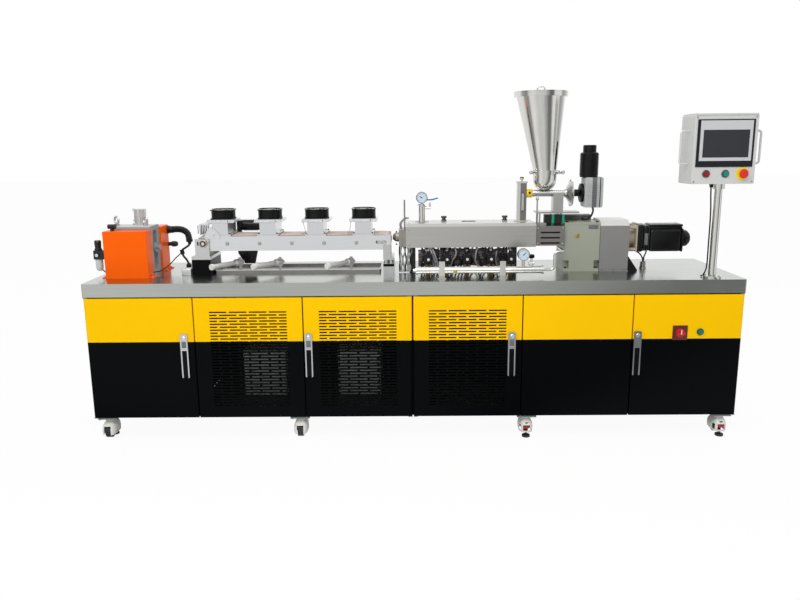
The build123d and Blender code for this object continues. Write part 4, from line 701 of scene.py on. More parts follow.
def smooth_line(points, per_leg=10):
    """Places along a smooth line through the points, a set number of them between each two."""
    ends = [2 * points[0] - points[1], *points, 2 * points[-1] - points[-2]]
    line = []
    for a, b, c, d in zip(ends, ends[1:], ends[2:], ends[3:]):
        for i in range(per_leg):
            t = i / per_leg
            line.append(0.5 * (2 * b + (c - a) * t + (2 * a - 5 * b + 4 * c - d) * t * t
                               + (3 * b - a - 3 * c + d) * t ** 3))
    return line + [points[-1]]


def hose(mesh, points, radius, per_leg=10, sides=12, rib=0.0, pitch=0.005):
    """Adds a round tube through the points; rib is the share by which its rings stand out."""
    line = smooth_line([Vector(p) for p in points], per_leg)
    rings, side, along = [], None, 0.0
    for i, spot in enumerate(line):
        way = (line[min(i + 1, len(line) - 1)] - line[max(i - 1, 0)]).normalized()
        along += (spot - line[i - 1]).length if i else 0.0
        side = way.orthogonal() if side is None else side - way * side.dot(way)
        side.normalize()
        other = way.cross(side)
        r = radius * (1 + rib * math.sin(2 * math.pi * along / pitch))
        rings.append([mesh.verts.new(spot + side * r * math.cos(2 * math.pi * k / sides)
                                     + other * r * math.sin(2 * math.pi * k / sides)) for k in range(sides)])
    for low, high in zip(rings, rings[1:]):
        for k in range(sides):
            mesh.faces.new((low[k], low[(k + 1) % sides], high[(k + 1) % sides], high[k]))
    mesh.faces.new(rings[0])
    mesh.faces.new(rings[-1])
    return mesh


def tube(name, finish, points, radius, per_leg=10, sides=12):
    """A piece that is a single hose or cable."""
    return piece(name, hose(bmesh.new(), points, radius, per_leg, sides), finish)


# %% Finishes for the small pieces
label_white = painted("label_bare_white", srgb(226, 226, 222), 0.4, mottle=0.05, dust=0.0)
switch_border = painted("switch_border_dark_red", srgb(92, 30, 24), 0.4, dust=0.0)
ring_green = painted("lamp_ring_dark_green", srgb(14, 74, 62), 0.35, dust=0.0)
label_grey = painted("label_bare_grey", srgb(104, 108, 112), 0.4, mottle=0.3, dust=0.0)
dial_white = painted("dial_white", srgb(198, 217, 232), 0.35, mottle=0.03, dust=0.0)
# Black for print and small black parts, and also for the dark pieces in slots, gaps and caster shells, which are
# painted shade.
print_and_shade_black = painted("black_print_and_painted_shade", srgb(16, 16, 18), 0.5, dust=0.0)
chrome = steel("chrome_trim", srgb(226, 227, 228), 0.12, (30.0, 30.0, 30.0), 0.1, dust=0.0)
brass = steel("brass_turned", srgb(206, 168, 98), 0.28, (60.0, 60.0, 60.0), 0.25)
bezel_dark = steel("bezel_dark_chrome", srgb(120, 122, 126), 0.2, (30.0, 30.0, 30.0), 0.2)
brass_dull = steel("bearing_housing_bronze", srgb(190, 176, 164), 0.35, (60.0, 60.0, 60.0), 0.3)
cable_black = painted("cable_rubber_black", srgb(24, 25, 27), 0.5, mottle=0.1, peel=1600, shine=0.3)
cable_brown = painted("cable_brown_grey", srgb(92, 86, 80), 0.5, mottle=0.2, peel=1600, shine=0.3)
cable_grey = painted("cable_grey", srgb(150, 152, 152), 0.5, mottle=0.1, peel=1600)
grip_blue = painted("grip_blue_vinyl", srgb(34, 88, 176), 0.35, dust=0.0)
cap_yellow = painted("cap_yellow", srgb(238, 200, 40), 0.4, dust=0.0)
braid = steel("hose_steel_braid", srgb(170, 170, 166), 0.35, (900.0, 900.0, 900.0), 0.6, relief=0.0004)

# %% [markdown]
# Doors: each swing handle has a bare plate and a lock above its lever, and the lever has a round boss
# under its pivot. They ride on the leaf and on the lever, so they move with them.

# %% Swing handles
for number in (1, 3, 4, 6):
    low, high = islands(f"handle_lever_{number}")[0]
    x, front = (low.x + high.x) / 2, low.y
    block(f"handle_label_{number}", label_grey, (x - 0.0105, front - 0.0007, high.z + 0.014),
          (x + 0.0105, front + 0.0002, high.z + 0.044), 0.0003, f"door_{number}")
    turned(f"handle_lock_{number}", chrome, [(0, 0), (0.0085, 0), (0.0085, 0.0012), (0.0065, 0.0026),
                                             (0.005, 0.0026), (0.0048, 0.0018), (0, 0.0018)],
           (x, front, high.z + 0.06), FRONT, 24, f"door_{number}")
    turned(f"lever_boss_{number}", lever_black, [(0, 0), (0.0104, 0), (0.0100, 0.0018), (0.006, 0.0028), (0, 0.0028)],
           (x, front, high.z - 0.0160), FRONT, 28, f"lever_{number}")
print("handles dressed")

# %% Main switch: a dark border round the yellow plate, a pale pointer, and a ring round the lamp
plate, lamp_box = islands("switch_plate_and_lamp")
knob = whole("main_switch_knob")[0]
plate_mid, lamp_mid = centre(plate), centre(lamp_box)
block("main_switch_border", switch_border, (plate[0].x - 0.003, front_sheet - 0.0020, plate[0].z - 0.003),
      (plate[1].x + 0.003, front_sheet, plate[1].z + 0.003), 0.0008, "door_6")
block("main_switch_pointer", label_white, (plate_mid.x - 0.0022, knob.y - 0.0006, plate_mid.z - 0.004),
      (plate_mid.x + 0.0022, knob.y + 0.0006, plate_mid.z + 0.017), 0.0005, "switch_knob")
turned("pilot_lamp_ring", ring_green, [(0.0112, 0.004), (0.0158, 0.004), (0.0158, 0.0052), (0.014, 0.0066),
                                       (0.0112, 0.0066)],
       (lamp_mid.x, lamp_box[1].y, lamp_mid.z), FRONT, 32, "door_6")

# %% [markdown]
# The levelling casters have a moulded white shell. It is lofted through rounded outlines, hollowed, and
# cut open for the wheel at one end and for the red thumbwheel of the screw foot at the other.

# %% One caster shell


def loft(levels, steps=40, squareness=0.62):
    """A closed form through level outlines: (height, half width, length ahead, length behind)."""
    mesh = bmesh.new()
    rings = []
    for z, half_width, ahead, behind in levels:
        ring = []
        for i in range(steps):
            across, along = math.cos(2 * math.pi * i / steps), math.sin(2 * math.pi * i / steps)
            ring.append(mesh.verts.new((math.copysign(abs(across) ** squareness, across) * half_width,
                                        math.copysign(abs(along) ** squareness, along)
                                        * (ahead if along > 0 else behind), z)))
        rings.append(ring)
    for low, high in zip(rings, rings[1:]):
        for i in range(steps):
            mesh.faces.new((low[i], low[(i + 1) % steps], high[(i + 1) % steps], high[i]))
    mesh.faces.new(rings[0])
    mesh.faces.new(rings[-1])
    bmesh.ops.recalc_face_normals(mesh, faces=mesh.faces)
    return mesh


def carve(solid, cutters):
    """Cuts each cutter out of the solid with Boolean modifiers and gives the mesh back."""
    made = [placed("carving", as_data(mesh, "carving")) for mesh in (solid, *cutters)]
    for cutter in made[1:]:
        step = made[0].modifiers.new("cut", "BOOLEAN")
        step.operation, step.solver, step.object = "DIFFERENCE", "EXACT", cutter
    bpy.context.view_layer.update()
    result = bmesh.new()
    result.from_mesh(made[0].evaluated_get(bpy.context.evaluated_depsgraph_get()).to_mesh())
    for temporary in made:
        bpy.data.objects.remove(temporary)
    return result


def box_cutter(low, high):
    """A plain box to cut with."""
    mesh = bmesh.new()
    size, middle = Vector(high) - Vector(low), (Vector(high) + Vector(low)) / 2
    for v in bmesh.ops.create_cube(mesh, size=1.0)["verts"]:
        v.co = Vector(v.co[i] * size[i] for i in range(3)) + middle
    return mesh


plate_top = islands("caster_housings")[0][1].z
shell_top = plate_top - 0.009
shell_levels = [(0.0225, 0.0270, 0.056, 0.044), (0.0265, 0.0310, 0.060, 0.050), (0.0450, 0.0325, 0.061, 0.052),
                (0.0620, 0.0315, 0.056, 0.050), (0.0755, 0.0265, 0.042, 0.043), (0.0830, 0.0215, 0.029, 0.033),
                (0.0890, 0.0195, 0.023, 0.026), (shell_top, 0.0210, 0.024, 0.027)]
hollow = [(-0.010, 0.0240, 0.053, 0.041)] + [(z, w - 0.003, a - 0.003, b - 0.003) for z, w, a, b in shell_levels[1:5]]
shell_mesh = as_data(carve(loft(shell_levels), [
    loft(hollow),
    box_cutter((-0.0155, 0.024, -0.01), (0.0155, 0.080, 0.066)),
    box_cutter((-0.0165, -0.080, 0.033), (0.0165, -0.022, 0.0605)),
    box_cutter((-0.060, -0.0415, 0.033), (0.060, -0.0185, 0.0605))]), "shell")
print("caster shell:", len(shell_mesh.polygons), "faces")

# %% All casters: shell, plate, a dark core of painted shade inside the shell, plate screws and axle caps
shells, plates_low, painted_shade_cores = bmesh.new(), bmesh.new(), bmesh.new()
wheels = islands("caster_wheels")
for wheel, foot in zip(wheels, islands("levelling_feet")):
    x, wheel_y, foot_y = centre(wheel).x, centre(wheel).y, centre(foot).y
    way = math.copysign(1.0, wheel_y - foot_y)
    middle_y = wheel_y - way * 0.020
    added = bmesh.new()
    added.from_mesh(shell_mesh)
    added.transform(Matrix.Translation((x, middle_y, 0)) @ Matrix.Rotation(0.0 if way > 0 else math.pi, 4, "Z"))
    shells.from_mesh(as_data(added, "moved"))
    slab(plates_low, (x - 0.045, middle_y - 0.045, shell_top),
         (x + 0.045, middle_y + 0.045, plate_top - 0.0002), 0.0012)
    # A black ring round the foot's screw, above the thumbwheel, is painted shade for the inside of the shell.
    lathe(painted_shade_cores, [(0, 0.0640), (0.0150, 0.0640), (0.0150, 0.0735), (0, 0.0735)], (x, foot_y, 0), UP, 20)
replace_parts(piece("caster_shells", shells, caster_nylon), "caster_housings")
piece("caster_plates", plates_low, plate_grey)
piece("caster_thread_guards", painted_shade_cores, print_and_shade_black)
plate_screws = [((mid.x + sx * 0.036, mid.y + sy * 0.036, shell_top), DOWN)
                for mid in map(centre, islands("caster_housings")) for sx, sy in CORNERS]
axle_caps = bmesh.new()
for mid in map(centre, wheels):
    for way in (LEFT, RIGHT):
        lathe(axle_caps, [(0, 0), (0.0085, 0), (0.0078, 0.0016), (0.004, 0.0022), (0, 0.0022)],
              (mid.x + way[0] * 0.030, mid.y, mid.z), way, 18)
piece("caster_axle_caps", axle_caps, zinc)
fasteners("caster_plate_screws", hex_head, 0.0045, plate_screws, zinc)

# %% [markdown]
# Conveyor: a bolt and washer end each cross rod, the bearing plates carry set screws round a turned
# boss, and black screws hold the duct flanges down.

# %% Conveyor fasteners
frame_parts = islands("conveyor_frame")
rods = [box for box in frame_parts if box[1].x - box[0].x < 0.02]
outer = max(abs(box[1].y) for box in frame_parts if box[1].x - box[0].x > 0.5)
bolts, washers = [], bmesh.new()
for mid in map(centre, rods):
    for way in (FRONT, BACK):
        spot = (mid.x, way[1] * outer, mid.z)
        lathe(washers, [(0, 0), (0.0095, 0), (0.0095, 0.0012), (0, 0.0012)], spot, way, 24)
        bolts.append(((spot[0], way[1] * (outer + 0.0012), spot[2]), way))
piece("conveyor_washers", washers, zinc)
fasteners("conveyor_rod_bolts", hex_head, 0.0072, bolts, zinc)
left_axis, bearing_y = centre(islands("belt_rollers")[0]), 0.1030
bearing_bosses, bearing_rings, bearing_centres = bmesh.new(), bmesh.new(), bmesh.new()
for way in (FRONT, BACK):
    spot = (left_axis.x, way[1] * bearing_y, left_axis.z)
    lathe(bearing_bosses, [(0, 0), (0.0190, 0), (0.0190, 0.0016), (0.0176, 0.0024), (0, 0.0024)], spot, way, 40)
    lathe(bearing_rings, [(0, 0.0024), (0.0140, 0.0024), (0.0134, 0.0034), (0, 0.0034)], spot, way, 40)
    lathe(bearing_centres, [(0, 0.0034), (0.0082, 0.0034), (0.0078, 0.0042), (0.0026, 0.0042), (0.0022, 0.0036),
                            (0, 0.0036)], spot, way, 28)
piece("bearing_bosses", bearing_bosses, brass_dull)
piece("bearing_rings", bearing_rings, print_and_shade_black)
piece("bearing_centres", bearing_centres, chrome)
# A thin black block stands for the adjuster slot in the bearing plate: painted shade.
block("bearing_adjuster_slot", print_and_shade_black, (left_axis.x - 0.0290, -0.0992, left_axis.z - 0.009),
      (left_axis.x - 0.0225, -0.0978, left_axis.z + 0.010), 0.0005)
set_screws = [((left_axis.x + sx * 0.024, way[1] * (outer + 0.006), left_axis.z + sz * 0.017 - 0.012), way)
              for way in (FRONT, BACK) for sx, sz in CORNERS]
fasteners("bearing_set_screws", socket_head, 0.004, set_screws, black_screw)
fan_boxes = islands("fan_frames")
flange_screws = [((centre(fan).x + sx * 0.0443, sy * 0.080, 0.9449), UP) for fan in fan_boxes for sx, sy in CORNERS]
fasteners("duct_flange_screws", socket_head, 0.0042, flange_screws, black_screw)
print(len(rods), "cross rods,", len(flange_screws), "duct screws")

# %% The louvre's dark strips, painted shade in the gaps between its blades, and the block that holds the left foot
louvre_shade_strips = bmesh.new()
# Thin black sheets on the louvre's face are painted shade for its gaps.
for k in range(7):
    x = -1.0180 + 0.0082 * k
    slab(louvre_shade_strips, (x - 0.0017, -0.0786, 0.9480), (x + 0.0017, -0.0772, 0.9880), 0.0004)
piece("louvre_dark_slats", louvre_shade_strips, print_and_shade_black)
piece("foot_anchor_block", slab(bmesh.new(), (-1.1090, -0.0840, deck + 0.0002),
                                (-1.0632, -0.0440, deck + 0.0300), 0.0025, 3), conveyor_steel)

# %% Fans: four screws through the guard's corners, a bare disc on each hub, and the wires
guard_screws, hub_labels, fan_leads = [], bmesh.new(), bmesh.new()
for low, high in fan_boxes:
    mid = centre((low, high))
    guard_screws += [((mid.x + sx * 0.0452, mid.y + sy * 0.0452, high.z - 0.0002), UP) for sx, sy in CORNERS]
    lathe(hub_labels, [(0, 0), (0.019, 0), (0.019, 0.0004), (0, 0.0004)], (mid.x, mid.y, high.z - 0.003), UP, 32)
    hose(fan_leads, [(mid.x + 0.03, low.y + 0.004, low.z + 0.004), (mid.x + 0.034, low.y - 0.006, low.z - 0.004),
                     (mid.x + 0.036, low.y - 0.012, low.z - 0.03), (mid.x + 0.037, low.y - 0.02, low.z - 0.066)],
         0.0016, 8, 8)
fasteners("fan_guard_screws", pan_head, 0.0046, guard_screws, zinc)
piece("fan_hub_labels", hub_labels, label_white)
hanging = bmesh.new()
for number, sway in ((2, 0.016), (3, -0.018)):
    low = fan_boxes[number][0]
    x = low.x + 0.004
    hose(hanging, [(x, low.y + 0.004, low.z + 0.002), (x - 0.004, low.y - 0.010, low.z - 0.014),
                   (x + sway * 0.4, -0.0860, low.z - 0.046), (x + sway, -0.0885, 0.9370)], 0.0012, 8, 8)
piece("fan_hanging_wires", hanging, cable_grey)
piece("fan_leads", fan_leads, cable_black)

# %% [markdown]
# Pelletizer: cap screws hold the cover feet, a ribbed conduit leaves the rear cover, and a thin cable
# comes round between the covers to the sensor's gland.

# %% Pelletizer fittings
covers = islands("pelletizer_covers")
foot_screws = [((x, y, deck + 0.004), UP) for low, high in covers
               for x in (low.x + 0.010, high.x - 0.010) for y in (low.y + 0.022, high.y - 0.022)]
fasteners("cover_foot_screws", socket_head, 0.0052, foot_screws, zinc)
rear = max(covers, key=lambda box: box[1].y)
front_cover = min(covers, key=lambda box: box[0].y)
rear_face, conduit_y = rear[1].x - 0.020, 0.150
gland = bmesh.new()
lathe(gland, [(0, 0), (0.0200, 0), (0.0200, 0.010), (0.0175, 0.012), (0.0175, 0.030), (0, 0.030)],
      (rear_face, conduit_y, 0.945), RIGHT, 28)
lathe(gland, [(0, 0), (0.0100, 0), (0.0100, 0.014), (0.0140, 0.018), (0.0140, 0.038), (0.0090, 0.046), (0, 0.046)],
      (rear_face, conduit_y, 0.872), RIGHT, 24)
lathe(gland, [(0, 0), (0.0168, 0), (0.0168, 0.010), (0.0080, 0.016), (0.0080, 0.024), (0, 0.024)],
      (rear_face + 0.107, conduit_y, 0.894), DOWN, 24)
lathe(gland, [(0, 0), (0.0105, 0), (0.0105, 0.022), (0.0070, 0.026), (0, 0.026)],
      (rear_face + 0.064, conduit_y, 0.842), (0.2, 0, -1), 20)
lathe(gland, [(0, 0), (0.0130, 0), (0.0130, 0.016), (0.0085, 0.020), (0, 0.030)],
      (rear_face + 0.096, conduit_y, deck), UP, 20)
piece("conduit_glands", gland, cable_black)
arch = [(0.026, 0.945), (0.050, 0.947), (0.078, 0.942), (0.100, 0.924), (0.107, 0.890)]
conduit = hose(bmesh.new(), [(rear_face + x, conduit_y, z) for x, z in arch], 0.0158, 56, 20, 0.09, 0.0068)
piece("ribbed_conduit", conduit, cable_black, crease=80)
drop = [(0.107, 0.876), (0.100, 0.862), (0.066, 0.838), (0.070, 0.812), (0.086, 0.790), (0.096, deck + 0.020)]
tube("sensor_cable", cable_black, [(rear_face + x, conduit_y, z) for x, z in drop], 0.0052, 12)
filter_x = islands("air_fittings")[0][0].x
tube("air_tube", grip_blue, [(filter_x + 0.018, -0.112, 0.790), (filter_x + 0.022, -0.090, 0.772),
                             (filter_x + 0.030, -0.075, 0.760), (filter_x + 0.052, -0.060, 0.757)], 0.003, 10, 10)
cover_x = front_cover[1].x
tube("cutter_cable", cable_black, [(cover_x - 0.020, -0.100, 0.768), (cover_x + 0.002, -0.060, 0.768),
                                   (cover_x + 0.018, 0.020, 0.784), (cover_x + 0.030, 0.090, 0.808),
                                   (rear_face + 0.066, 0.148, 0.828)], 0.0028, 12, 10)

# %% [markdown]
# Dials: a white face with printed marks and a needle. One helper makes them all from the front of a
# round case.

# %% Dials


def dial(name, middle, radius, marks, needle_turn):
    """A face, its marks over 270 degrees and the needle, which stands at an angle from straight up."""
    turned(name + "_face", dial_white, [(0, 0), (radius, 0), (radius, 0.0004), (0, 0.0004)], middle, FRONT, 48)
    ink = bmesh.new()
    for i in range(marks):
        turn = math.radians(-135 + 270 * i / (marks - 1))
        reach = radius * (0.70 if i % 5 == 0 else 0.79)
        way = Vector((math.sin(turn), 0, math.cos(turn)))
        aside = Vector((math.cos(turn), 0, -math.sin(turn))) * radius * (0.030 if i % 5 == 0 else 0.016)
        lift = Vector((0, -0.0005, 0))
        base = Vector(middle)
        low = [base + lift + way * reach - aside, base + lift + way * radius * 0.9 - aside,
               base + lift + way * radius * 0.9 + aside, base + lift + way * reach + aside]
        ink.faces.new([ink.verts.new(p) for p in low])
    turn = math.radians(needle_turn)
    way = Vector((math.sin(turn), 0, math.cos(turn)))
    aside = Vector((math.cos(turn), 0, -math.sin(turn)))
    base = Vector(middle) + Vector((0, -0.0009, 0))
    ink.faces.new([ink.verts.new(base + p) for p in
                   (way * radius * 0.74, aside * radius * 0.09, way * -radius * 0.3, aside * -radius * 0.09)])
    for made in list(ink.faces):
        made.normal_update()
        if made.normal.y > 0:
            made.normal_flip()
    shown = placed(name + "_marks", as_data(ink, name + "_marks"))
    shown.data.materials.append(print_and_shade_black.material)
    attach(shown, "root")
    turned(name + "_pin", print_and_shade_black, [(0, 0), (radius * 0.09, 0), (radius * 0.07, 0.0012), (0, 0.0014)],
           (middle[0], middle[1] - 0.0004, middle[2]), FRONT, 16)


for number, (low, high) in enumerate(islands("pressure_gauges")):
    mid = centre((low, high))
    dial(f"gauge_{number + 1}", (mid.x, low.y + 0.0029, mid.z), 0.0245, 26, -58 + 106 * number)
dial("regulator_dial", (filter_x + 0.018, -0.1572, 0.859), 0.0076, 16, -60)
print("dials placed")

# %% [markdown]
# Valves: each coil has a pale mark and a thin lead, and a steel-braided hose runs from the valve's back up
# to the barrel. Behind them hang a tangle of black cables, a few pale hoses and a brown-grey loom.

# %% Solenoid valves
valve_y, coil_z = -0.120, 0.826
hose_y, barrel_z = valve_y + 0.052, whole("barrel_cover")[0].z
valves = islands("solenoid_valves")
plug_marks, leads, hoses, nuts = bmesh.new(), bmesh.new(), bmesh.new(), bmesh.new()
for box in valves:
    x = centre(box).x
    lathe(plug_marks, [(0, 0), (0.0062, 0), (0.0062, 0.0006), (0, 0.0006)], (x, valve_y - 0.036, coil_z), FRONT, 24)
    hose(leads, [(x, valve_y - 0.030, coil_z - 0.012), (x + 0.001, valve_y - 0.031, coil_z - 0.030),
                 (x + 0.006, valve_y - 0.026, coil_z - 0.052), (x + 0.018, valve_y - 0.008, deck + 0.006),
                 (x + 0.030, valve_y + 0.020, deck + 0.004)], 0.0028, 8, 8)
    hose(hoses, [(x, valve_y + 0.020, 0.788), (x, valve_y + 0.036, 0.792), (x + 0.003, valve_y + 0.048, 0.815),
                 (x + 0.004, hose_y, 0.850), (x + 0.004, hose_y, barrel_z + 0.001)], 0.0062, 10, 12)
    lathe(nuts, [(0, 0), (0.0092, 0), (0.0092, 0.012), (0.0072, 0.014), (0, 0.014)],
          (x + 0.004, hose_y, barrel_z - 0.014), UP, 6)
    lathe(nuts, [(0, 0), (0.0105, 0), (0.0105, 0.010), (0, 0.010)], (x, valve_y + 0.018, 0.788), BACK, 6)
piece("valve_plug_marks", plug_marks, label_white)
piece("valve_leads", leads, cable_black)
piece("water_hoses", hoses, braid)
piece("hose_nuts", nuts, gauge_case)
fasteners("coil_nuts", hex_head, 0.0062, [((centre(box).x, valve_y, box[1].z), UP) for box in valves], zinc)

# %% The cables and hoses behind the valves
scatter = random.Random(11)
tangle, pale_hoses, loom = bmesh.new(), bmesh.new(), bmesh.new()
first_x, last_x = centre(valves[0]).x, centre(valves[-1]).x
for k in range(30):
    x = first_x - 0.030 + (last_x - first_x + 0.050) * k / 29
    drift = [scatter.uniform(-0.014, 0.014) for _ in range(4)]
    y = -0.078 + scatter.uniform(-0.006, 0.008)
    hose(pale_hoses if k % 7 == 3 else tangle,
         [(x, y + 0.004, deck + 0.004), (x + drift[0], y, 0.780), (x + drift[1], y - 0.004, 0.808),
          (x + drift[2], y, 0.842), (x + drift[3], y + 0.010, barrel_z + 0.001)],
         scatter.uniform(0.0036, 0.0052), 6, 8)
for k in range(4):
    x = 0.062 + 0.011 * k
    hose(pale_hoses, [(x, -0.060, barrel_z + 0.001), (x + 0.010, -0.088, 0.850), (x + 0.022, -0.100, 0.815),
                      (x + 0.030, -0.105, 0.780), (x + 0.034, -0.106, deck + 0.004)], 0.0044, 8, 8)
for k in range(19):
    level, back = 0.784 + 0.0042 * k, -0.0560 - 0.0030 * (k % 3)
    hose(loom, [(first_x - 0.046 + 0.039 * step, back + scatter.uniform(-0.002, 0.002),
                 level + scatter.uniform(-0.006, 0.006)) for step in range(12)], 0.0050, 7, 8)
piece("valve_cable_loom", loom, cable_brown)
piece("valve_cable_tangle", tangle, cable_black)
piece("valve_pale_hoses", pale_hoses, cable_grey)

# %% Manifold: a plug on its end, a brass one in front, and the drain cock
pipe_x, pipe_y = whole("water_manifold")[0].x, -0.215
turned("manifold_drain_plug", zinc, [(0, 0), (0.012, 0), (0.012, 0.004), (0.0085, 0.005), (0.0085, 0.013), (0, 0.014)],
       (pipe_x, pipe_y, 0.785), LEFT, 6)
turned("manifold_plugs", brass, [(0, 0), (0.0095, 0), (0.0095, 0.005), (0.007, 0.006), (0.007, 0.014), (0, 0.015)],
       (pipe_x + 0.180, -0.2300, 0.782), FRONT, 6)
cock, cock_x = bmesh.new(), 0.549
lathe(cock, [(0, 0), (0.0085, 0), (0.0085, 0.008), (0.0048, 0.011), (0.0048, 0.040), (0, 0.040)],
      (cock_x, pipe_y, 0.800), UP, 20)
lathe(cock, [(0, 0), (0.0062, 0), (0.0062, 0.028), (0, 0.028)], (cock_x - 0.014, pipe_y, 0.815), RIGHT, 18)
piece("drain_cock_body", cock, chrome)
turned("drain_cock_knob", lever_black, [(0, 0), (0.0090, 0), (0.0135, 0.004), (0.0135, 0.014), (0.0100, 0.018),
                                        (0, 0.018)], (cock_x, pipe_y, 0.838), UP, 8)

# %% [markdown]
# Barrel, gearbox and motor: the covers are held by screws near their corners.

# %% Screws on the vent box, the gearbox and the covers
vent_low, vent_high = whole("vent_box")
gear_low, gear_high = whole("gearbox")
hood_low, hood_high = whole("coupling_cover")
cover_low, cover_high = whole("barrel_cover")
vent_screws = [((x, vent_low.y, z), FRONT) for x in (vent_low.x + 0.010, vent_high.x - 0.010)
               for z in (vent_low.z + 0.010, vent_high.z - 0.010)]
fasteners("vent_box_screws", pan_head, 0.0048, vent_screws, zinc)
gear_screws = [((x, y, gear_high.z), UP) for x in (gear_low.x + 0.014, gear_high.x - 0.014)
               for y in (gear_low.y + 0.014, gear_high.y - 0.014)]
gear_screws += [((x, gear_low.y + 0.013, gear_low.z + 0.014), UP) for x in (gear_low.x + 0.013, gear_high.x - 0.013)]
fasteners("gearbox_screws", socket_head, 0.0062, gear_screws, black_screw)
turned("gearbox_oil_plug", brass, [(0, 0), (0.0118, 0), (0.0118, 0.003), (0.0090, 0.004), (0.0045, 0.004),
                                   (0.004, 0.001), (0, 0.001)], (0.789, gear_low.y, 0.922), FRONT, 6)
block("gearbox_bare_plate", label_grey, (0.843, gear_low.y - 0.0008, 0.9535), (0.889, gear_low.y + 0.0004, 0.9725),
      0.0004)
hood_foot = deck + 0.008
hood_screws = [((x, hood_low.y + 0.004, hood_foot), UP) for x in
               (hood_low.x + 0.014, (hood_low.x + hood_high.x) / 2, hood_high.x - 0.014)]
hood_screws += [((x, hood_high.y - 0.004, hood_foot), UP) for x in (hood_low.x + 0.014, hood_high.x - 0.014)]
fasteners("coupling_cover_screws", hex_head, 0.0042, hood_screws, zinc)
cover_screws = [((x, cover_low.y, z), FRONT) for x in (cover_low.x + 0.014, cover_high.x - 0.014)
                for z in (cover_low.z + 0.014, cover_high.z - 0.050)]
fasteners("barrel_cover_screws", pan_head, 0.0042, cover_screws, zinc)
# A thin black block stands for a slot in the cover's top: painted shade.
block("cover_dark_slot", print_and_shade_black, (0.249, 0.045, 0.9852), (0.315, 0.062, 0.9864), 0.0004)
gussets = bmesh.new()
outline = [(0.0003, 0.822), (0.0003, deck + 0.0003), (0.046, deck + 0.0003), (0.046, deck + 0.006)]
for y in (-0.0660, 0.1040):
    near, far = [[gussets.verts.new((hood_high.x + x, side, z)) for x, z in outline] for side in (y, y + 0.008)]
    gussets.faces.new(near)
    gussets.faces.new(far[::-1])
    for i in range(len(outline)):
        j = (i + 1) % len(outline)
        gussets.faces.new((near[j], near[i], far[i], far[j]))
piece("coupling_gussets", gussets, motor_black)
print("covers screwed down")

# %% The main motor: flange, adapter, body, end shield, terminal box and fan cowl
motor, motor_x = bmesh.new(), whole("main_motor")[0].x
for low_x, high_x, low_y, high_y, low_z, high_z, edge, segments in (
        (0.0002, 0.026, -0.046, 0.086, 0.8385, 0.9700, 0.008, 3),
        (0.0255, 0.062, -0.040, 0.080, 0.8420, 0.9660, 0.012, 3),
        (0.0600, 0.2150, -0.0345, 0.0745, 0.8378, 0.9460, 0.014, 4),
        (0.2120, 0.2225, -0.0370, 0.0770, 0.8372, 0.9485, 0.008, 3),
        (0.0640, 0.2200, -0.0200, 0.0600, 0.9440, 0.9580, 0.003, 2),
        (0.0620, 0.2215, -0.0220, 0.0620, 0.9585, 0.9685, 0.003, 2)):
    slab(motor, (motor_x + low_x, low_y, low_z), (motor_x + high_x, high_y, high_z), edge, segments)
lathe(motor, [(0, 0), (0.0400, 0), (0.0400, 0.006), (0.0388, 0.007), (0.0388, 0.012), (0.0400, 0.013),
              (0.0400, 0.026), (0.0365, 0.033), (0.0290, 0.036), (0.0290, 0.040), (0.0240, 0.0440), (0, 0.0440)],
      (motor_x + 0.2220, line_y, 0.897), RIGHT, 48)
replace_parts(piece("main_motor_body", motor, motor_black), "main_motor")
lid_screws = [((x, line_y + sy * 0.034, 0.9685), UP) for x in (motor_x + 0.072, motor_x + 0.211) for sy in (-1, 1)]
fasteners("terminal_lid_screws", pan_head, 0.004, lid_screws, zinc)
flange_bolts = [((motor_x + 0.026, line_y + sy * 0.056, 0.9045 + sz * 0.056), RIGHT) for sy, sz in CORNERS]
fasteners("motor_flange_bolts", socket_head, 0.0056, flange_bolts, black_screw)
block("motor_bare_plate", label_grey, (motor_x + 0.034, -0.0408, 0.872), (motor_x + 0.050, -0.0396, 0.928), 0.0004)
gland_profile = [(0, 0), (0.0170, 0), (0.0170, 0.004)]
for k in range(3):
    lift, ring = 0.004 + 0.010 * k, 0.0165 - 0.001 * k
    gland_profile += [(0.0120, lift + 0.001), (0.0120, lift + 0.003), (ring, lift + 0.005), (ring, lift + 0.008),
                      (0.0120, lift + 0.010)]
turned("motor_gland", gauge_case, gland_profile + [(0, 0.036)], (1.136, 0.019, deck), UP, 28)
motor_cables = bmesh.new()
hose(motor_cables, [(hood_high.x - 0.001, line_y, 0.826), (hood_high.x + 0.024, line_y, 0.836), (1.088, line_y, 0.838),
                    (1.118, line_y, 0.822), (1.133, 0.019, 0.798), (1.1345, 0.019, 0.782)], 0.0034, 10, 10)
hose(motor_cables, [(1.150, line_y, 0.842), (1.148, line_y, 0.826), (1.140, 0.019, 0.806), (1.1375, 0.019, 0.782)],
     0.0034, 10, 10)
piece("motor_cables", motor_cables, cable_black)

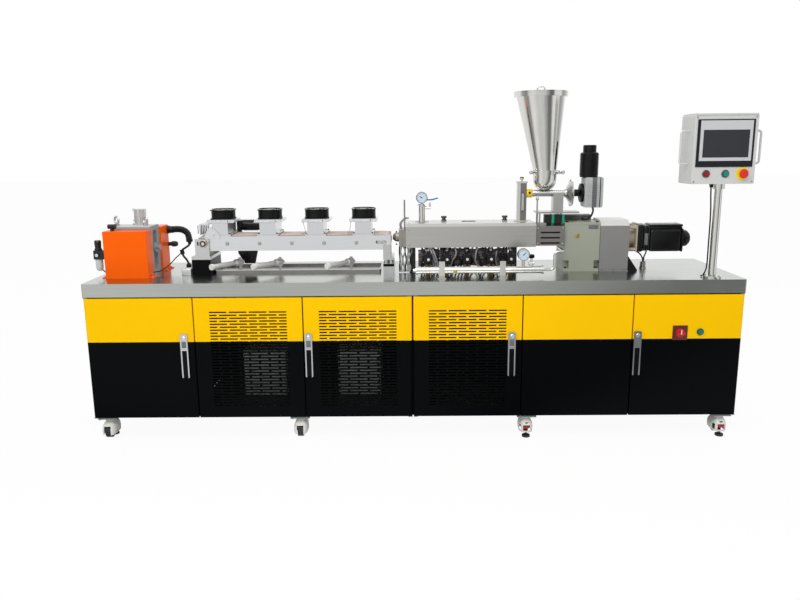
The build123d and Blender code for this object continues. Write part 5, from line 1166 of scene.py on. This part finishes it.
# %% Die: heater leads that loop over to the cover, hoses under it, and cap screws on the block
die_x, heater = whole("die_head")[1].x, bmesh.new()
for k in range(3):
    y = -0.030 + 0.009 * k
    hose(heater, [(die_x - 0.018 - 0.004 * k, y, 0.957), (die_x - 0.020 - 0.004 * k, y - 0.004, 0.985),
                  (die_x - 0.004, y - 0.006, 1.004 + 0.003 * k), (die_x + 0.016, y - 0.004, cover_high.z)],
         0.0022, 10, 8)
piece("heater_leads", heater, cable_grey)
die_hoses, die_cables = bmesh.new(), bmesh.new()
for k in range(7):
    x = die_x - 0.030 + 0.0095 * k
    sway = scatter.uniform(-0.010, 0.010)
    hose(die_hoses if k % 3 else die_cables,
         [(x, -0.030 - 0.004 * (k % 3), 0.8745), (x + sway, -0.052, 0.850), (x - sway, -0.064, 0.812),
          (x + sway * 0.5, -0.060, 0.778), (x, -0.054, deck + 0.004)], 0.0036 + 0.0004 * (k % 3), 8, 8)
piece("die_grey_hoses", die_hoses, cable_grey)
piece("die_black_cables", die_cables, cable_black)
fasteners("die_block_screws", socket_head, 0.004, [((die_x - 0.045, -0.034, z), FRONT) for z in (0.885, 0.945)],
          black_screw)

# %% [markdown]
# Feeder: a bolted flange, the yellow cap on the feeder's tube, a clamp ring with two screws round the
# hopper's seam, a round skin on its bowl, and the motor's cable. The vacuum port has a blue lever.

# %% Feeder pieces
feed_low, feed_high = whole("feeder_barrel")
feed_z = 1.120
turned("feeder_tube_cap", cap_yellow, [(0, -0.0006), (0.0195, -0.0006), (0.0206, 0.0006), (0.0206, 0.0266),
                                       (0.0202, 0.0272), (0, 0.0272)], (feed_low.x, line_y, feed_z), RIGHT, 40)
turned("feeder_cap_dot", print_and_shade_black, [(0, 0), (0.0062, 0), (0.0058, 0.0012), (0, 0.0012)],
       (feed_low.x + 0.0135, line_y - 0.0200, feed_z + 0.003), FRONT, 20)
turns = [math.radians(30 + 60 * k) for k in range(6)]
disc_screws = [((feed_high.x - 0.0050, line_y + 0.0585 * math.cos(turn), feed_z + 0.0585 * math.sin(turn)), LEFT)
               for turn in turns]
fasteners("feeder_flange_screws", hex_head, 0.0056, disc_screws, zinc)
clamp_screw = bmesh.new()
lathe(clamp_screw, [(0, 0), (0.0045, 0), (0.0045, 0.010), (0.009, 0.012), (0.009, 0.026), (0.006, 0.030), (0, 0.030)],
      (0.7205, 0.010, 1.219), FRONT, 20)
lathe(clamp_screw, [(0, 0), (0.0045, 0), (0.0045, 0.008), (0.008, 0.010), (0.008, 0.022), (0.005, 0.026), (0, 0.026)],
      (0.5690, 0.010, 1.2205), FRONT, 20)
piece("hopper_clamp_screws", clamp_screw, chrome)
hopper_x, seam_z = 0.642, 1.222
seam = [v.co for v in nodes["feed_hopper"].data.vertices if abs(v.co.z - seam_z) < 0.004]
seam_radius = sorted(math.hypot(co.x - hopper_x, co.y - line_y) for co in seam)[len(seam) * 3 // 4]
turned("hopper_clamp_ring", dark_steel, [(seam_radius - 0.001, -0.0045), (seam_radius + 0.0016, -0.0045),
                                         (seam_radius + 0.0030, 0), (seam_radius + 0.0016, 0.0045),
                                         (seam_radius - 0.001, 0.0045)], (hopper_x, line_y, seam_z), UP, 64)
turned("hopper_bowl_shell", polished_steel, [(0.0236, 0.0006), (0.0280, 0.0010), (0.0360, 0.0046), (0.0445, 0.0120),
                                             (0.0505, 0.0225), (0.0545, 0.0350), (0.0560, 0.0480), (0.0564, 0.0600),
                                             (0.0564, 0.0780), (0.0545, 0.0790)], (hopper_x, line_y, 1.1380), UP, 96)
print("hopper seam radius", round(seam_radius, 4))
tube("port_lever", grip_blue, [(0.052, line_y, 1.0935), (0.078, line_y, 1.0925), (0.100, line_y, 1.0940),
                               (0.128, line_y, 1.1010)], 0.0034, 8)
vent_post = whole("feed_vent_post")
turned("vent_post_knob", lever_black, [(0, 0), (0.0062, 0), (0.0062, 0.003), (0.0095, 0.005), (0.0095, 0.013),
                                       (0, 0.013)], (centre(vent_post).x, line_y, vent_post[1].z - 0.009), UP, 28)
tube("feeder_cable", cable_black, [(0.868, -0.020, 1.052), (0.868, -0.030, 1.036), (0.858, -0.034, 1.012),
                                   (0.846, -0.020, 0.998), (0.838, 0.020, 0.994), (0.834, 0.040, 0.994)],
     0.0048, 10, 10)

# %% [markdown]
# Operator panel: two button bezels, the front's screws, and the cable that runs down beside the post.

# %% Operator panel
box_low, box_high = whole("operator_box")
box_front = -0.326
bezels = bmesh.new()
for mid in map(centre, islands("push_buttons")[:2]):
    lathe(bezels, [(0.0118, 0.0), (0.0168, 0.0), (0.0168, 0.003), (0.0148, 0.0052), (0.0118, 0.0052)],
          (mid.x, box_front, mid.z), FRONT, 36)
piece("button_bezels", bezels, bezel_dark)
corner_screws = [((x, box_front, z), FRONT) for x in (box_low.x + 0.052, box_high.x - 0.052) for z in (1.184, 1.457)]
fasteners("panel_screws", pan_head, 0.0042, corner_screws, zinc)
post_mid = centre(whole("operator_post"))
turned("panel_gland", cable_black, [(0, 0), (0.009, 0), (0.009, 0.008), (0.007, 0.010), (0.007, 0.018), (0, 0.018)],
       (post_mid.x - 0.028, -0.250, 1.174), DOWN, 20)
tube("panel_cable", cable_black, [(post_mid.x - 0.028, -0.250, 1.158), (post_mid.x - 0.027, -0.252, 1.120),
                                  (post_mid.x - 0.0235, -0.256, 1.040), (post_mid.x - 0.0230, -0.257, 0.900),
                                  (post_mid.x - 0.0235, -0.256, 0.800), (post_mid.x - 0.030, -0.240, deck + 0.010),
                                  (post_mid.x - 0.034, -0.225, deck + 0.0035)], 0.0032, 12)
post_screws = []
for k in range(4):
    turn = math.radians(45 + 90 * k)
    post_screws.append(((post_mid.x + 0.031 * math.cos(turn), post_mid.y + 0.031 * math.sin(turn), deck + 0.010), UP))
fasteners("post_flange_screws", socket_head, 0.0044, post_screws, zinc)
print("operator panel dressed")

# %% Guide rolls: a white cap on the tip of each
tips, slant = bmesh.new(), math.radians(34)
for low, high in islands("strand_guides"):
    post = Vector((high.x - 0.0198, 0.004, 0.797))
    way = Vector((-math.sin(slant), -math.cos(slant), 0))
    lathe(tips, [(0, 0), (0.0146, 0), (0.0146, 0.0125), (0.0130, 0.0146), (0, 0.0146)], post + way * 0.172, way, 28)
piece("guide_roll_caps", tips, label_white)

# %% [markdown]
# Stage: a pale floor and backdrop, soft lamps, and the camera where the photograph was taken from.
# Metal mirrors the room, so a node group says how bright the room is in each direction round the
# machine: white at the sides and behind, softer in front, with a darker stretch at each front corner.

# %% The light that metal sees
studio_cards, net, given, result = group("studio_cards", [("Vector", VECTOR, None)], [("Strength", NUMBER)])
parts = net.node("ShaderNodeSeparateXYZ")
net.put(given["Vector"], parts.inputs[0])
azimuth = net.math("ARCTAN2", parts.outputs[0], net.math("MULTIPLY", parts.outputs[1], -1.0))
share = net.math("ADD", net.math("MULTIPLY", azimuth, 0.5 / math.pi), 0.5)
cards = net.node("ShaderNodeValToRGB")
cards.color_ramp.interpolation = "EASE"
stops = [(-180, 1.0), (-112, 1.0), (-92, 0.45), (-74, 0.32), (-58, 0.95), (-44, 1.0), (-20, 0.8), (6, 0.8), (20, 0.5),
         (33, 0.2), (42, 0.2), (56, 1.0), (80, 1.0), (96, 0.45), (112, 0.6), (136, 1.0), (180, 1.0)]
points = cards.color_ramp.elements
for number, (angle, strength) in enumerate(stops):
    spot = (angle + 180) / 360
    stop = points[0] if number == 0 else points.new(spot) if number < len(stops) - 1 else points[-1]
    stop.position = spot
    stop.color = (strength, strength, strength, 1)
net.put(share, cards.inputs[0])
net.put(cards.outputs[0], result["Strength"])


def mirrored_room(net, direction):
    """What a floor or a sky needs: is the ray glossy, is it any view, and how bright metal sees it."""
    seen = net.node("ShaderNodeLightPath").outputs
    glossy = seen["Is Glossy Ray"]
    any_view = net.math("MAXIMUM", seen["Is Camera Ray"], net.math("MAXIMUM", glossy, seen["Is Transmission Ray"]))
    room = net.node("ShaderNodeGroup")
    room.node_tree = studio_cards
    net.put(direction, room.inputs[0])
    return glossy, any_view, room.outputs[0]


# %% Floor
floor_mesh = bmesh.new()
bmesh.ops.create_grid(floor_mesh, x_segments=2, y_segments=2, size=30.0)
floor = placed("floor", as_data(floor_mesh, "floor"))
floor_finish = bpy.data.materials.new("floor_pale")
floor_finish.use_nodes = True
net = Network(floor_finish.node_tree)
matte = floor_finish.node_tree.nodes["Principled BSDF"]
matte.inputs["Base Color"].default_value = (1, 1, 1, 1)
matte.inputs["Roughness"].default_value = 0.9
glow = net.node("ShaderNodeEmission")
both = net.node("ShaderNodeMixShader")
glossy, any_view, strength = mirrored_room(net, net.node("ShaderNodeTexCoord").outputs["Object"])
net.put(net.blend(glossy, 1.0, strength, kind="FLOAT"), glow.inputs["Strength"])
net.put(net.math("MULTIPLY", any_view, 0.95), both.inputs[0])
net.put(matte.outputs[0], both.inputs[1])
net.put(glow.outputs[0], both.inputs[2])
net.put(both.outputs[0], floor_finish.node_tree.nodes["Material Output"].inputs[0])
floor.data.materials.append(floor_finish)

# %% World, lamps and camera
world = bpy.data.worlds.new("studio")
bpy.context.scene.world = world
world.use_nodes = True
net = Network(world.node_tree)
sky = world.node_tree.nodes["Background"]
sky.inputs["Color"].default_value = (1, 1, 1, 1)
direction = net.node("ShaderNodeTexCoord").outputs["Generated"]
glossy, any_view, strength = mirrored_room(net, direction)
height = net.node("ShaderNodeSeparateXYZ")
net.put(direction, height.inputs[0])
overhead = net.ramp(height.outputs[2], 0.25, 0.55)
room = net.blend(overhead, strength, 1.0, kind="FLOAT")
plain = net.math("MAXIMUM", any_view, 0.62)
net.put(net.blend(glossy, plain, room, kind="FLOAT"), sky.inputs["Strength"])


def lamp(name, place, target, width, height, power):
    """A rectangular lamp at a place, turned to its target."""
    data = bpy.data.lights.new(name, "AREA")
    data.shape = "RECTANGLE"
    data.size, data.size_y, data.energy = width, height, power
    made = placed(name, data)
    made.location = place
    made.rotation_euler = (Vector(target) - Vector(place)).to_track_quat("-Z", "Y").to_euler()
    return made


lamp("lamp_over_front", (-0.6, -2.6, 3.6), (0, 0, 0.8), 3.6, 1.6, 78)
lamp("lamp_over_back", (0.8, 2.4, 3.2), (0, 0, 0.8), 3.2, 1.4, 26)

photo_camera = bpy.data.cameras.new("photo_camera")
camera = placed("photo_camera", photo_camera)
camera_place = (-0.024, -3.5536, 1.3422)
pitch, yaw, roll = math.radians(-11.769), math.radians(0.577), math.radians(0.536)
photo_camera.lens = 32.94
aim = Matrix.Rotation(yaw, 4, "Z") @ Matrix.Rotation(pitch, 4, "X") @ Matrix.Rotation(roll, 4, "Y")
camera.matrix_world = Matrix.Translation(camera_place) @ aim @ Matrix.Rotation(math.pi / 2, 4, "X")
bpy.context.scene.camera = camera
bpy.context.scene.view_settings.view_transform = "Standard"
